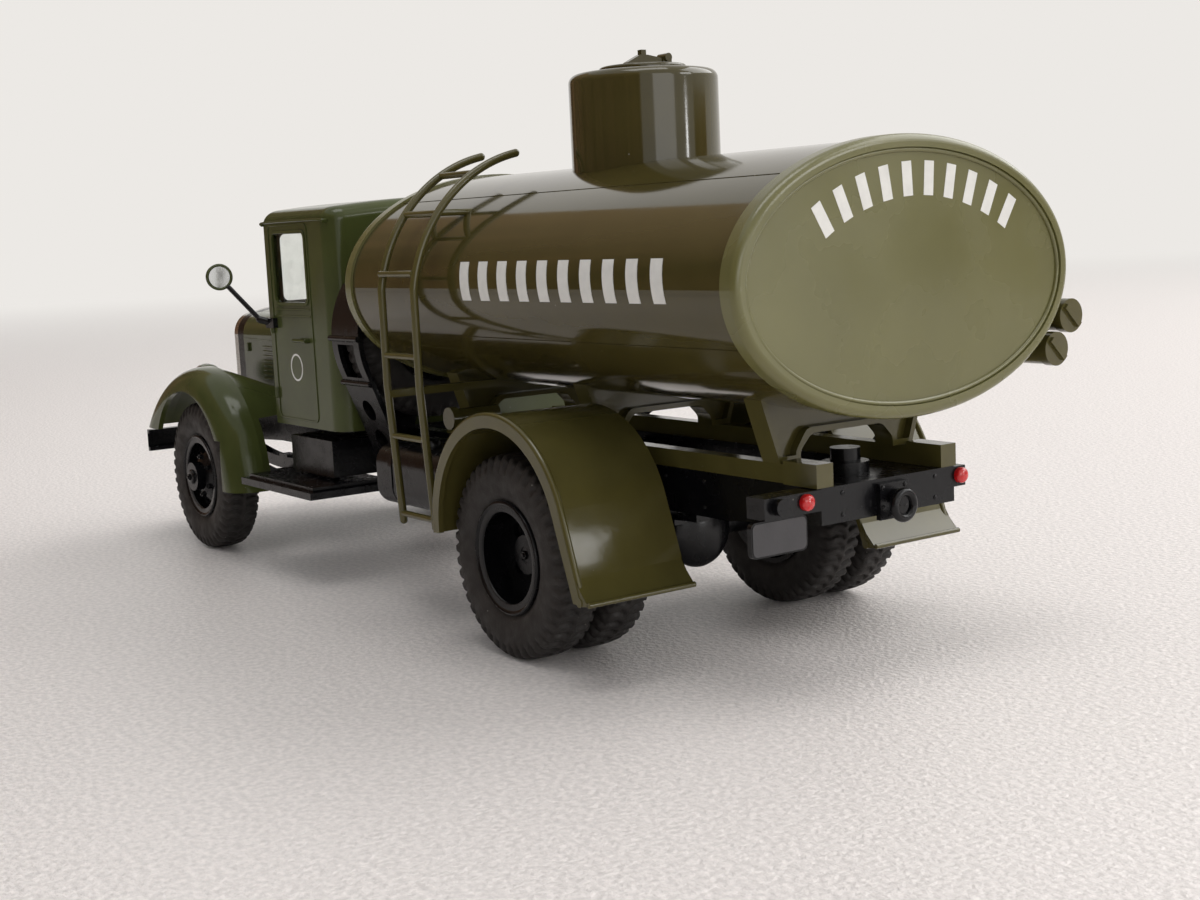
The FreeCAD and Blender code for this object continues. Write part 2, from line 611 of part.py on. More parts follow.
def rim_profile(disc, side):
    """A rim's barrel and its disc plate at a distance from the middle, in half section."""
    half = "rim_width / 2"
    outer = "tyre_bead"
    barrel = f"{outer} - rim_wall"
    return [
        ("-" + half, outer),
        (half, outer),
        (half, barrel),
        (f"{disc} + disc_wall", barrel),
        (f"{disc} + disc_wall + ({side})", "hub_radius"),
        (f"{disc} + disc_wall + ({side}) + hub_proud", "hub_radius"),
        (f"{disc} + disc_wall + ({side}) + hub_proud", "stub_radius + running_fit"),
        (f"{disc} + ({side}) - hub_proud", "stub_radius + running_fit"),
        (f"{disc} + ({side}) - hub_proud", "hub_radius"),
        (f"{disc} + ({side})", "hub_radius"),
        (disc, barrel),
        ("-" + half, barrel),
    ]


def hand_holes(body, low, high):
    """A ring of round holes through a wheel's disc."""
    doc.recompute()
    sketch = body.newObject("Sketcher::SketchObject", f"{body.Name}_hole")
    sketch.AttachmentSupport = (plane_of(body, "XZ_Plane"), [""])
    sketch.MapMode = "FlatFace"
    sketch.setExpression(".AttachmentOffset.Base.z", bind(f"-({low})"))
    middle = Vector(0, val("hand_hole_circle"), 0)
    sketch.addGeometry(Part.Circle(middle, Vector(0, 0, 1), val("hand_hole_radius")), False)
    sketch.addConstraint(Sketcher.Constraint("PointOnObject", 0, 3, -2))
    rise = sketch.addConstraint(Sketcher.Constraint("DistanceY", -1, 1, 0, 3, middle.y))
    size = sketch.addConstraint(Sketcher.Constraint("Radius", 0, val("hand_hole_radius")))
    sketch.setExpression(f"Constraints[{rise}]", bind("hand_hole_circle"))
    sketch.setExpression(f"Constraints[{size}]", bind("hand_hole_radius"))
    hole = body.newObject("PartDesign::Pocket", f"{body.Name}_bored")
    hole.Profile = sketch
    hole.setExpression("Length", bind(f"({high}) - ({low})"))
    ring = body.newObject("PartDesign::PolarPattern", f"{body.Name}_ring")
    ring.Originals = [hole]
    ring.Axis = (next(item for item in body.Origin.OriginFeatures if item.Role == "Y_Axis"), [""])
    ring.Angle = 360
    ring.setExpression("Occurrences", bind("hand_hole_count"))
    body.Tip = ring


def build_rims():
    """Front rims have a disc that stands out; rear rims are twins, dished and back to back."""
    front = new_body("front_rim")
    turned(front, rim_profile("0", "disc_dish"))
    hand_holes(front, "-1", "disc_dish + disc_wall + 1")
    place(front, "front_axle", "front_track_half", "wheel_radius")
    keep_pair("rim_front", front)
    outer = new_body("rear_outer_rim")
    turned(outer, rim_profile("disc_inset - rim_width / 2", "0"))
    hand_holes(outer, "-rim_width / 2 - 1", "disc_wall - rim_width / 2 + 1")
    place(outer, "rear_axle", "rear_track_half", "wheel_radius")
    inner = new_body("rear_inner_rim")
    turned(inner, rim_profile("rim_width / 2 - disc_wall - disc_inset", "0"))
    hand_holes(inner, "rim_width / 2 - disc_wall - 1", "rim_width / 2 + 1")
    place(inner, "rear_axle", "rear_twin_inner", "wheel_radius")
    drum = rod("rear_drum", "y", "drum_radius", "rear_twin_inner - drum_inner",
               ("rear_axle", "drum_inner", "wheel_radius"))
    sleeve = rod("rear_sleeve", "y", "hub_radius", "rear_track_half - rear_twin_inner",
                 ("rear_axle", "rear_twin_inner", "wheel_radius"))
    solid = fuse("rear_hub", [outer, inner, drum, sleeve])
    bore = rod("rear_bore", "y", "stub_radius + running_fit", "rear_track_half",
               ("rear_axle", "drum_inner - 1", "wheel_radius"))
    keep_pair("rims_rear", cut("rear_rims", solid, bore))


# Frame
def build_rails():
    """Channel rails, open towards the middle, tapered at the rear and dropped at the nose."""
    body = new_body("rail")
    outer = [
        (along("rail_rear"), "rail_top"),
        (along("rail_rear"), "rail_top - rail_rear_depth"),
        (along("rail_taper"), "rail_low"),
        (along("rail_nose_start"), "rail_low"),
        (along("rail_front"), "nose_low"),
        (along("rail_front"), "rail_top - rail_nose_drop"),
        (along("rail_nose_start"), "rail_top"),
    ]
    pad(body, "XZ_Plane", outer, "rail_inner", "rail_outer")
    doc.recompute()
    inner = [
        (along("rail_rear - 1"), "rail_top - rail_flange"),
        (along("rail_rear - 1"), "rail_top - rail_rear_depth + rail_flange"),
        (along("rail_taper"), "rail_low + rail_flange"),
        (along("rail_nose_start"), "rail_low + rail_flange"),
        (along("rail_front + 1"), "nose_low + rail_flange"),
        (along("rail_front + 1"), "rail_top - rail_nose_drop - rail_flange"),
        (along("rail_nose_start"), "rail_top - rail_flange"),
    ]
    pocket(body, "XZ_Plane", inner, "rail_inner", "rail_outer - rail_web")
    keep_pair("frame_rail", body)


def build_crossmembers():
    """Four members between the rails; the first and the last take the plinth's screws."""
    inside = "rail_outer - rail_web"
    members = []
    for name in ("member_rear", "member_middle", "member_front", "member_nose"):
        middle = along(name)
        low, height = "member_low", "member_height"
        if name == "member_nose":
            low, height = "nose_member_low", "nose_member_height"
        beam = box(name, (f"{middle} - member_width / 2", f"{middle} + member_width / 2"),
                   (f"-({inside})", inside), (low, f"{low} + {height}"))
        if name in ("member_rear", "member_nose"):
            hole = rod(name + "_hole", "z", "screw_radius", f"{height} + 2", (middle, "0", f"{low} - 1"))
            beam = cut(name + "_bored", beam, hole)
        members.append(beam)
    keep("crossmembers", fuse("crossmembers_whole", members))


def build_rear_beam():
    """The beam across the rails' rear ends, with the plate and stepped boss in front of it."""
    rear = along("rail_rear - end_beam_width")
    beam = box("end_beam", (rear, along("rail_rear")), ("-rail_outer", "rail_outer"),
               ("rail_top - rail_rear_depth", "rail_top"))
    inside = "rail_inner - seat_gap"
    plate = box("tow_plate_box", (along("rail_rear"), along("rail_rear + tow_plate")),
                (f"-({inside})", inside), ("rail_top - tow_plate_height", "rail_top"))
    middle = along("tow_boss_place")
    step = rod("boss_step", "z", "tow_boss_radius", "tow_boss_step", (middle, "0", "rail_top"))
    top = rod("boss_top", "z", "tow_boss_top", "tow_boss_height", (middle, "0", "rail_top"))
    keep("rear_beam", fuse("rear_beam_whole", [beam, plate, step, top]))


def build_hook():
    """A tow ring on a short shank behind the rear beam."""
    face = along("rail_rear - end_beam_width")
    height = "rail_top - rail_rear_depth / 2"
    half = "rail_rear_depth / 2 - hook_wire"
    base = box("hook_base", (f"{face} - hook_base_wall", face), ("-hook_base_half", "hook_base_half"),
               (f"{height} - {half}", f"{height} + {half}"))
    shank = rod("hook_shank", "x", "hook_shank", "hook_reach", (f"{face} - hook_reach", "0", height))
    ring = doc.addObject("Part::Torus", "hook_torus")
    ring.Placement = Placement(Vector(), TURNS["x"])
    ring.setExpression("Radius1", bind("hook_ring"))
    ring.setExpression("Radius2", bind("hook_wire"))
    place(ring, f"{face} - hook_reach", "0", f"{height} - hook_drop")
    keep("tow_hook", fuse("hook_whole", [base, shank, ring]))


def build_bumper():
    """A channel bumper, open at the back, on two brackets from the rail noses."""
    front = "front_axle + front_overhang"
    rear = f"{front} - bumper_depth"
    top = "bumper_low + bumper_height"
    body = new_body("bumper")
    pad(body, "XY_Plane", [
        (rear, "-bumper_half"),
        (f"{front} - 1.2", "-bumper_half", "-1.2"),
        (front, "-bumper_half + 1.2"),
        (front, "bumper_half - 1.2", "-1.2"),
        (f"{front} - 1.2", "bumper_half"),
        (rear, "bumper_half"),
    ], "bumper_low", top)
    doc.recompute()
    pocket(body, "XZ_Plane",
           rectangle((f"{rear} - 1", f"{front} - bumper_wall"),
                     ("bumper_low + bumper_wall", f"{top} - bumper_wall")),
           "-bumper_half - 1", "bumper_half + 1")
    pieces = [body]
    for side in ("", "-"):
        low, high = ("rail_inner", "rail_outer") if not side else ("-rail_outer", "-rail_inner")
        pieces.append(box("bumper_bracket", (along("rail_front"), f"{front} - bumper_wall"), (low, high),
                          ("bumper_low + bumper_wall", f"{top} - bumper_wall")))
    keep("front_bumper", fuse("bumper_whole", pieces))


# Axles and springs
def leaf_spring(name, axle, seat, camber):
    """Three leaves, each shorter than the one above, clamped at the axle, with hangers to the rail."""
    low_side = "spring_side - spring_width / 2"
    high_side = "spring_side + spring_width / 2"
    body = new_body(name)
    for index, share in enumerate(("0.45", "0.72", "1")):
        half = f"spring_half * {share}"
        rise = f"{camber} * {share} * {share}"
        low = f"{seat} + spring_leaf * {index}"
        radius = f"((spring_half * {share}) ^ 2 + ({rise}) ^ 2) / (2 * ({rise}))"
        pad(body, "XZ_Plane", [
            (f"{axle} - {half}", f"{low} + {rise}", f"-({radius})"),
            (f"{axle} + {half}", f"{low} + {rise}"),
            (f"{axle} + {half}", f"{low} + {rise} + spring_leaf", f"{radius} - spring_leaf"),
            (f"{axle} - {half}", f"{low} + {rise} + spring_leaf"),
        ], low_side, high_side)
        doc.recompute()
    clamp = box(name + "_clamp", (f"{axle} - 1.6", f"{axle} + 1.6"), (low_side, high_side),
                (seat, f"{seat} + spring_stack + 0.5"))
    pieces = [body, clamp]
    for end in ("-", "+"):
        middle = f"{axle} {end} (spring_half - hanger_length / 2)"
        under = "nose_hanger_top" if (name, end) == ("front_spring", "+") else "rail_low - seat_gap"
        pieces.append(box(name + "_hanger",
                          (f"{middle} - hanger_length / 2", f"{middle} + hanger_length / 2"),
                          (low_side, high_side), (f"{seat} + spring_leaf * 2 + {camber} * 0.8", under)))
    return fuse(name + "_whole", pieces)


def build_springs():
    front = leaf_spring("front_spring", "front_axle", "front_spring_seat", "camber_front")
    keep_couple("springs_front", front)
    keep_couple("springs_rear", leaf_spring("rear_spring", "rear_axle", "axle_seat", "camber_rear"))


def build_front_axle():
    """A dropped beam, and a knuckle at each end that carries a wheel on its stub axle."""
    half = "knuckle_inner"
    top = "wheel_radius + beam_height / 2"
    body = new_body("beam")
    pad(body, "YZ_Plane", [
        (f"-{half}", f"{top} - beam_height"),
        (f"-{half} + 2.4", f"{top} - beam_height"),
        (f"-{half} + 5", f"{top} - beam_height - beam_drop"),
        (f"{half} - 5", f"{top} - beam_height - beam_drop"),
        (f"{half} - 2.4", f"{top} - beam_height"),
        (half, f"{top} - beam_height"),
        (half, top),
        (f"{half} - 2.6", top),
        (f"{half} - 5.2", f"{top} - beam_drop"),
        (f"-{half} + 5.2", f"{top} - beam_drop"),
        (f"-{half} + 2.6", top),
        (f"-{half}", top),
    ], "front_axle - beam_depth / 2", "front_axle + beam_depth / 2")
    outer = "knuckle_inner + knuckle_width"
    block = box("knuckle_block", ("front_axle - 1.3", "front_axle + 1.3"), ("knuckle_inner", outer),
                ("wheel_radius - 2.1", "wheel_radius + 2.1"))
    pin = rod("kingpin", "z", "pin_radius", "2 * pin_half",
              ("front_axle", "knuckle_inner + knuckle_width / 2", "wheel_radius - pin_half"))
    stub = rod("front_stub", "y", "stub_radius", "front_track_half + disc_dish + hub_proud - knuckle_inner",
               ("front_axle", "knuckle_inner + 0.5", "wheel_radius"))
    knuckle = fuse("knuckle_whole", [block, pin, stub])
    keep("front_axle", fuse("front_axle_whole", [body, knuckle, mirrored("knuckle_twin", knuckle)]))


def build_rear_axle():
    """Axle tubes with a banjo differential, its cover and pinion nose, and stub axles."""
    reach = "drum_inner - 0.35"
    tube = rod("axle_tube_rod", "y", "axle_tube", f"2 * ({reach})",
               ("rear_axle", f"-({reach})", "wheel_radius"))
    banjo = rod("banjo", "x", "banjo_radius", "2 * banjo_half",
                ("rear_axle - banjo_half", "0", "wheel_radius"))
    cover = doc.addObject("Part::Cone", "banjo_cover")
    cover.Placement = Placement(Vector(), Rotation(Vector(0, 1, 0), -90))
    cover.setExpression("Radius1", bind("banjo_radius - 0.5"))
    cover.setExpression("Radius2", bind("banjo_radius - 2.2"))
    cover.setExpression("Height", bind("banjo_half / 2"))
    place(cover, "rear_axle - banjo_half", "0", "wheel_radius")
    nose = doc.addObject("Part::Cone", "pinion_nose")
    nose.Placement = Placement(Vector(), TURNS["x"])
    nose.setExpression("Radius1", bind("banjo_radius - 1.2"))
    nose.setExpression("Radius2", bind("shaft_radius + 0.6"))
    nose.setExpression("Height", bind("banjo_half * 1.6"))
    place(nose, "rear_axle + banjo_half", "0", "wheel_radius")
    stubs = rod("rear_stubs", "y", "stub_radius", "2 * (rear_track_half - rim_width / 4)",
                ("rear_axle", "-rear_track_half + rim_width / 4", "wheel_radius"))
    keep("rear_axle", fuse("rear_axle_whole", [tube, banjo, cover, nose, stubs]))


def build_driveline():
    """The engine and gearbox as plain blocks, and the shaft from them to the rear axle."""
    top = "hood_low - 0.1"
    block = box("engine_box", (along("engine_rear"), along("engine_front")),
                ("-engine_half", "engine_half"), ("engine_low", top))
    gears = box("gearbox", (along("gearbox_rear"), along("engine_rear")), ("-gearbox_half", "gearbox_half"),
                ("engine_low", "engine_low + gearbox_height"))
    keep("engine_block", fuse("engine_whole", [block, gears]))
    room = val("joint_room")
    start = Vector(val("rear_axle + banjo_half * 2.6") + room, 0, val("wheel_radius"))
    end = Vector(val(along("gearbox_rear")) - room, 0, val("engine_low + gearbox_height / 2"))
    run = end - start
    shaft = Part.makeCylinder(val("shaft_radius"), run.Length, start, run)
    length = val("joint_length")
    for spot in (start, end - run * (length / run.Length)):
        shaft = shaft.fuse(Part.makeCylinder(val("joint_radius"), length, spot, run))
    keep("propeller_shaft", feature("shaft", shaft.removeSplitter()))


# Cab
def cab_plan(inset):
    """The cab's outline from above: rounded rear corners and a front in a shallow vee."""
    rear = val(along("cab_rear")) + inset
    side = val("cab_side") - inset
    pillar = val(along("cab_pillar")) - inset * 0.6
    nose = val(along("cab_nose")) - inset
    radius = val("cab_corner") - inset
    k = radius * (1 - math.sqrt(0.5))
    edges = [
        Part.Arc(Vector(rear, side - radius, 0), Vector(rear + k, side - k, 0),
                 Vector(rear + radius, side, 0)),
        Part.LineSegment(Vector(rear + radius, side, 0), Vector(pillar, side, 0)),
        Part.LineSegment(Vector(pillar, side, 0), Vector(nose, 0, 0)),
        Part.LineSegment(Vector(nose, 0, 0), Vector(pillar, -side, 0)),
        Part.LineSegment(Vector(pillar, -side, 0), Vector(rear + radius, -side, 0)),
        Part.Arc(Vector(rear + radius, -side, 0), Vector(rear + k, -side + k, 0),
                 Vector(rear, -side + radius, 0)),
        Part.LineSegment(Vector(rear, -side + radius, 0), Vector(rear, side - radius, 0)),
    ]
    return Part.Wire([edge.toShape() for edge in edges])


def cab_solid(inset, low):
    """The cab's block under a crowned roof with a rounded edge, moved in by the inset."""
    wire = cab_plan(inset)
    wire.translate(Vector(0, 0, low))
    crown = val("cab_crown") - inset
    eaves = val("cab_eaves") - inset
    block = Part.Face(wire).extrude(Vector(0, 0, crown - low + 1))
    side = val("cab_side") - inset
    rise = crown - eaves
    radius = (side * side + rise * rise) / (2 * rise)
    rear, length = val(along("cab_rear")), val("cab_nose - cab_rear")
    vault = Part.makeCylinder(radius, 3 * length, Vector(rear - length, 0, crown - radius), Vector(1, 0, 0))
    block = block.common(vault)
    rounding = val("roof_round") - inset * 0.8
    edges = [edge for edge in block.Edges if edge.BoundBox.ZMin > eaves - rise]
    return block.makeFillet(rounding, edges)


def cab_share(name, along_cab=False):
    """A height on the cab's sides, or a place along its length, from its share."""
    if along_cab:
        return val(along(f"cab_rear + {name} * (cab_pillar - cab_rear)"))
    return val(f"cab_low + {name} * (cab_eaves - cab_low)")


def slot_box(x, y, z):
    """A cutting box between limits."""
    return Part.makeBox(x[1] - x[0], y[1] - y[0], z[1] - z[0], Vector(x[0], y[0], z[0]))


def window_cuts():
    """The window openings: one in each side, two in the front and one in the rear wall."""
    low, top = cab_share("window_low"), cab_share("window_top")
    side = val("cab_side")
    deep = 2 * val("cab_wall")
    pillar, nose = val(along("cab_pillar")), val(along("cab_nose"))
    along_side = (cab_share("window_rear", True), cab_share("window_front", True))
    cuts = {}
    for name, sign in (("left", 1), ("right", -1)):
        y = sorted((sign * (side - deep), sign * (side + deep)))
        cuts["side_" + name] = slot_box(along_side, y, (low, top))
        y = sorted((sign * val("screen_inner"), sign * val("screen_outer")))
        cuts["screen_" + name] = slot_box((pillar - deep, nose + deep), y, (low, top))
    half = val("rear_window_half")
    back = val(along("cab_rear"))
    cuts["rear"] = slot_box((back - deep, back + deep), (-half, half), (cab_share("rear_window_low"), top))
    for name, shape in cuts.items():
        axis = Vector(0, 1, 0) if name.startswith("side") else Vector(1, 0, 0)
        edges = [edge for edge in shape.Edges if abs(edge.tangentAt(edge.FirstParameter).dot(axis)) > 0.9]
        cuts[name] = shape.makeFillet(val("window_round"), edges)
    return cuts


def build_cab():
    """The hollow cab, open below, with its windows, and the panes that fill them."""
    outer = cab_solid(0, val("cab_low"))
    inner = cab_solid(val("cab_wall"), val("cab_low") - 1)
    shell = outer.cut(inner)
    cuts = window_cuts()
    shell = shell.cut(list(cuts.values()))
    keep("cab_shell", feature("cab", shell))
    middle = (val("cab_wall") - val("glass")) / 2
    sheet_outer = cab_solid(middle, val("cab_low") - 1)
    sheet_inner = cab_solid(middle + val("glass"), val("cab_low") - 2)
    skin = sheet_outer.cut(sheet_inner)
    panes = [solid for shape in cuts.values() for solid in skin.common(shape).Solids]
    keep("cab_glazing", feature("glazing", Part.makeCompound(panes)))
    return outer


def build_interior():
    """Floor, bench seat, dashboard and steering wheel with its column."""
    gap = val("seat_gap")
    low = val("rail_top") + gap
    plan = Part.Face(cab_plan(val("cab_wall") + gap))
    plan.translate(Vector(0, 0, low))
    floor = plan.extrude(Vector(0, 0, val("floor_height")))
    keep("cab_floor", feature("floor", floor))
    top = low + val("floor_height")
    rear = val(along("cab_rear + cab_wall")) + gap
    half = val("seat_half")
    depth, thin = val("seat_depth * cab_length"), val("seat_back * cab_length")
    cushion = slot_box((rear, rear + depth), (-half, half), (top, top + val("seat_height")))
    back = slot_box((rear, rear + thin), (-half, half), (top, top + val("seat_rise")))
    seat = cushion.fuse(back).removeSplitter()
    edges = [edge for edge in seat.Edges if edge.BoundBox.YLength > half and edge.BoundBox.ZMin > top + 1]
    keep("seat", feature("seat_bench", seat.makeFillet(0.32 * thin, edges)))
    room = cab_solid(val("cab_wall") + gap, low)
    face = val(along("cab_pillar - dash_depth * cab_length"))
    side = val("cab_side")
    slab = slot_box((face, val(along("cab_nose"))), (-side, side), (val("dash_low"), val("dash_top")))
    keep("dashboard", feature("dash", slab.common(room)))
    steering_wheel(face)


def steering_wheel(dash_face):
    """A rim, three spokes and a column that slopes into the dashboard."""
    lean = Vector(0.87, 0, -0.5)
    stand = val("wheel_stand * cab_length")
    middle = Vector(dash_face - stand, val("driver_side"), val("wheel_height"))
    wire = val("wheel_wire")
    column = (stand - val("seat_gap") - 2 * wire * abs(lean.z)) / lean.x
    rim = Part.makeTorus(val("wheel_rim"), wire, middle, lean)
    whole = rim.fuse(Part.makeCylinder(2 * wire, column, middle, lean))
    turn = Rotation(lean, 120)
    spoke = Vector(0, 1, 0)
    for index in range(3):
        whole = whole.fuse(Part.makeCylinder(wire * 0.8, val("wheel_rim"), middle, spoke))
        spoke = turn.multVec(spoke)
    keep("steering_wheel", feature("wheel", whole))


# Front end
def hood_section(x, half, top):
    """The hood across the truck: upright sides, round shoulders and a crowned top."""
    low = val("hood_low")
    radius = val("hood_round")
    crown = val("hood_crown")
    k = radius * (1 - math.sqrt(0.5))
    edges = [
        Part.LineSegment(Vector(x, -half, low), Vector(x, -half, top - radius)),
        Part.Arc(Vector(x, -half, top - radius), Vector(x, -half + k, top - k),
                 Vector(x, -half + radius, top)),
        Part.Arc(Vector(x, -half + radius, top), Vector(x, 0, top + crown), Vector(x, half - radius, top)),
        Part.Arc(Vector(x, half - radius, top), Vector(x, half - k, top - k), Vector(x, half, top - radius)),
        Part.LineSegment(Vector(x, half, top - radius), Vector(x, half, low)),
        Part.LineSegment(Vector(x, half, low), Vector(x, -half, low)),
    ]
    return Part.Wire([edge.toShape() for edge in edges])


def build_hood(cab):
    """The hood, tapered from the cab to the radiator and seated against the cab's vee."""
    rear = hood_section(val(along("cab_pillar")), val("hood_half_rear"), val("hood_top_rear"))
    front = hood_section(val(along("hood_front")), val("hood_half_front"), val("hood_top_front"))
    solid = Part.makeLoft([rear, front], True, True).cut(cab)
    keep("hood", feature("hood_solid", solid))
    return solid


def build_radiator():
    """The radiator's block on the rails, and the barred shell in front of it."""
    half = val("hood_half_front")
    top = val("hood_top_front")
    rear = val(along("hood_front"))
    middle = rear + val("radiator_depth")
    low = val("radiator_low")
    profile = hood_section(rear, half, top)
    tall = Part.Face(profile).extrude(Vector(val("radiator_depth"), 0, 0))
    foot = slot_box((rear, middle), (-half, half), (low, val("hood_low")))
    inner, outer = val("radiator_foot_inner"), val("radiator_foot_outer")
    seat = val("nose_member_low + nose_member_height")
    legs = [slot_box((rear + 1, middle), y, (seat, low)) for y in ((inner, outer), (-outer, -inner))]
    keep("radiator", feature("core", tall.fuse([foot] + legs).removeSplitter()))
    shell = Part.Face(hood_section(middle, half, top)).extrude(Vector(val("grille_depth"), 0, 0))
    depth = val("grille_depth")
    shell = shell.fuse(slot_box((middle, middle + depth), (-half, half), (low, val("hood_low"))))
    shell = shell.removeSplitter()
    frame = val("grille_frame")
    inside = Part.Face(hood_section(middle - 1, half - frame, top - frame))
    inside = inside.extrude(Vector(val("grille_depth") + 2, 0, 0))
    inside = inside.fuse(slot_box((middle - 1, middle + depth + 1), (frame - half, half - frame),
                                  (low + frame, val("hood_low"))))
    whole = shell.cut(inside)
    count = int(val("grille_bars"))
    bar = val("grille_bar")
    for index in range(count):
        y = (index + 1) * 2 * (half - frame) / (count + 1) - (half - frame)
        blade = slot_box((middle, middle + val("grille_depth") * 0.7), (y - bar / 2, y + bar / 2),
                         (low + frame / 2, top + 2))
        whole = whole.fuse(blade.common(shell))
    keep("grille", feature("grille_shell", whole.removeSplitter()))


def fender_side(offset, fall):
    """A front fender from the side: a flat arc to the front, a round one behind and a short tail."""
    crest = Vector(val(along("fender_crest")), 0, val("fender_top") - offset - fall)
    front = Vector(val(along("fender_front")) - offset, 0, val("fender_front_low"))
    run, drop = front.x - crest.x, crest.z - front.z
    radius = (run * run + drop * drop) / (2 * drop)
    half = math.atan2(run, radius - drop) / 2
    brow = crest + Vector(math.sin(half), 0, math.cos(half) - 1) * radius
    back_radius = val("fender_arc") - offset - fall
    back_hub = crest - Vector(0, 0, back_radius)
    turn = math.acos(-val("fender_back / fender_arc"))
    tail = back_hub + Vector(math.cos(turn), 0, math.sin(turn)) * back_radius
    middle = (turn + math.pi / 2) / 2
    shoulder = back_hub + Vector(math.cos(middle), 0, math.sin(middle)) * back_radius
    low = val("fender_low") - 2 * offset
    heel = Vector(tail.x - (tail.z - low) * math.tan(math.pi - turn), 0, low)
    toe = Vector(front.x, 0, low)
    edges = [
        Part.Arc(front, brow, crest),
        Part.Arc(crest, shoulder, tail),
        Part.LineSegment(tail, heel),
        Part.LineSegment(heel, toe),
        Part.LineSegment(toe, front),
    ]
    return Part.Wire([edge.toShape() for edge in edges])


def fender_block(offset, inner, outer, rounding):
    """The fender's side view carried across the truck: its outer shoulder rounded, its inner part falling."""
    crown = val("fender_crown")
    wire = fender_side(offset, 0)
    wire.translate(Vector(0, crown, 0))
    low, front = wire.BoundBox.ZMin, wire.BoundBox.XMax
    block = Part.Face(wire).extrude(Vector(0, outer - crown, 0))
    edges = [edge for edge in block.Edges
             if edge.BoundBox.YMin > outer - 0.01 and edge.BoundBox.ZMax > low + 0.01
             and edge.BoundBox.XMin < front - 0.01]
    block = block.makeFillet(rounding, edges)
    fall = val("fender_fall") * (crown - inner) / (crown - val("fender_inner"))
    lower = fender_side(offset, fall)
    lower.translate(Vector(0, inner, 0))
    return block.fuse(Part.makeLoft([lower, wire], True, True)).removeSplitter()


def build_front_fenders(hood):
    """Hollow fenders with a wheel opening in the outer skirt, seated against the hood."""
    wall, gap, skirt = val("fender_wall"), val("seat_gap"), val("fender_skirt")
    inner, outer = val("fender_inner"), val("fender_outer")
    round_out = val("fender_round")
    solid = fender_block(0, inner, outer, round_out)
    hollow = fender_block(wall, inner - wall, outer - wall, round_out - wall * 0.8)
    shell = solid.cut(hollow)
    axle, front = val("front_axle"), val(along("fender_front"))
    opening, front_low = val("fender_opening"), val("fender_front_low")
    hub = Vector(axle, outer - skirt, val("wheel_radius"))
    wheel_room = Part.makeCylinder(opening, outer, hub, Vector(0, 1, 0))
    below = slot_box((axle - opening, front + wall), (outer - skirt, outer + wall), (0, front_low))
    chin = slot_box((axle + wall, front + wall), (0, outer + wall), (0, front_low))
    radiator = slot_box((val(along("hood_front")) - 1, front + wall), (0, val("hood_half_front") + gap),
                        (0, val("hood_top_rear")))
    rear = val(along("cab_rear"))
    rails = slot_box((rear, val(along("rail_front"))), (0, val("rail_outer") + gap),
                     (0, val("rail_top") + gap))
    under_cab = slot_box((rear, axle), (0, val("fender_tail_inner")), (0, val("cab_low")))
    cab = slot_box((rear, val(along("cab_nose")) + gap), (0, val("cab_side") + gap),
                   (val("cab_low") - gap, val("cab_crown")))
    shell = shell.cut([wheel_room, below, chin, hood, radiator, rails, under_cab, cab])
    shell = max(shell.Solids, key=lambda solid: solid.Volume)
    keep_pair("fender_front", feature("front_fender", shell))


def build_headlamps():
    """Round lamps on short posts on the fenders' front slopes, and their glasses."""
    radius, length = val("lamp_radius"), val("lamp_length")
    middle = Vector(val(along("lamp_front")), val("lamp_side"), val("lamp_height"))
    neck, waist = -length * 0.25, -length * 0.75
    wire = Part.Wire([edge.toShape() for edge in (
        Part.LineSegment(Vector(0, 0, 0), Vector(0, radius, 0)),
        Part.LineSegment(Vector(0, radius, 0), Vector(neck, radius, 0)),
        Part.Arc(Vector(neck, radius, 0), Vector(waist, radius * 0.72, 0), Vector(-length, 0, 0)),
        Part.LineSegment(Vector(-length, 0, 0), Vector(0, 0, 0)),
    )])
    bucket = Part.Face(wire).revolve(Vector(0, 0, 0), Vector(1, 0, 0), 360)
    bucket.translate(middle)
    drop = val("lamp_height - fender_front_low")
    post = Part.makeCylinder(val("lamp_stalk"), drop, middle - Vector(length * 0.35, 0, drop))
    post = post.cut(parts["fender_front_left"].Shape)
    post = max(post.Solids, key=lambda solid: solid.BoundBox.ZMax)
    keep_couple("headlamps", feature("lamp", bucket.fuse(post).removeSplitter()))
    glass = Part.makeCylinder(radius - val("lamp_rim"), val("lamp_glass"), middle, Vector(1, 0, 0))
    keep("headlamp_glasses", feature("lamp_glasses", both_sides(glass)))


def build_steps():
    """Running boards with a raised tread plate and two arms from the frame."""
    low, inner = "step_low", "step_inner"
    top = "step_low + step_height"
    board = box("board", (along("step_rear"), along("step_front")), (inner, "step_outer"), (low, top))
    tread = box("tread", (along("step_rear + step_arm"), along("step_front - step_arm")),
                (f"{inner} + 1", "step_outer - 1"), (top, f"{top} + tread_height"))
    pieces = [board, tread]
    for spot in ("step_rear + arm_rear", "step_front - arm_front"):
        body = new_body("step_arm")
        pad(body, "YZ_Plane", [
            ("rail_outer", "rail_low + 0.4"),
            (f"{inner} + 1", low),
            (f"{inner} + 1", top),
            ("rail_outer", "rail_low + 2.2"),
        ], along(spot), along(f"{spot} + step_arm"))
        pieces.append(body)
    keep_couple("steps", fuse("step_whole", pieces))


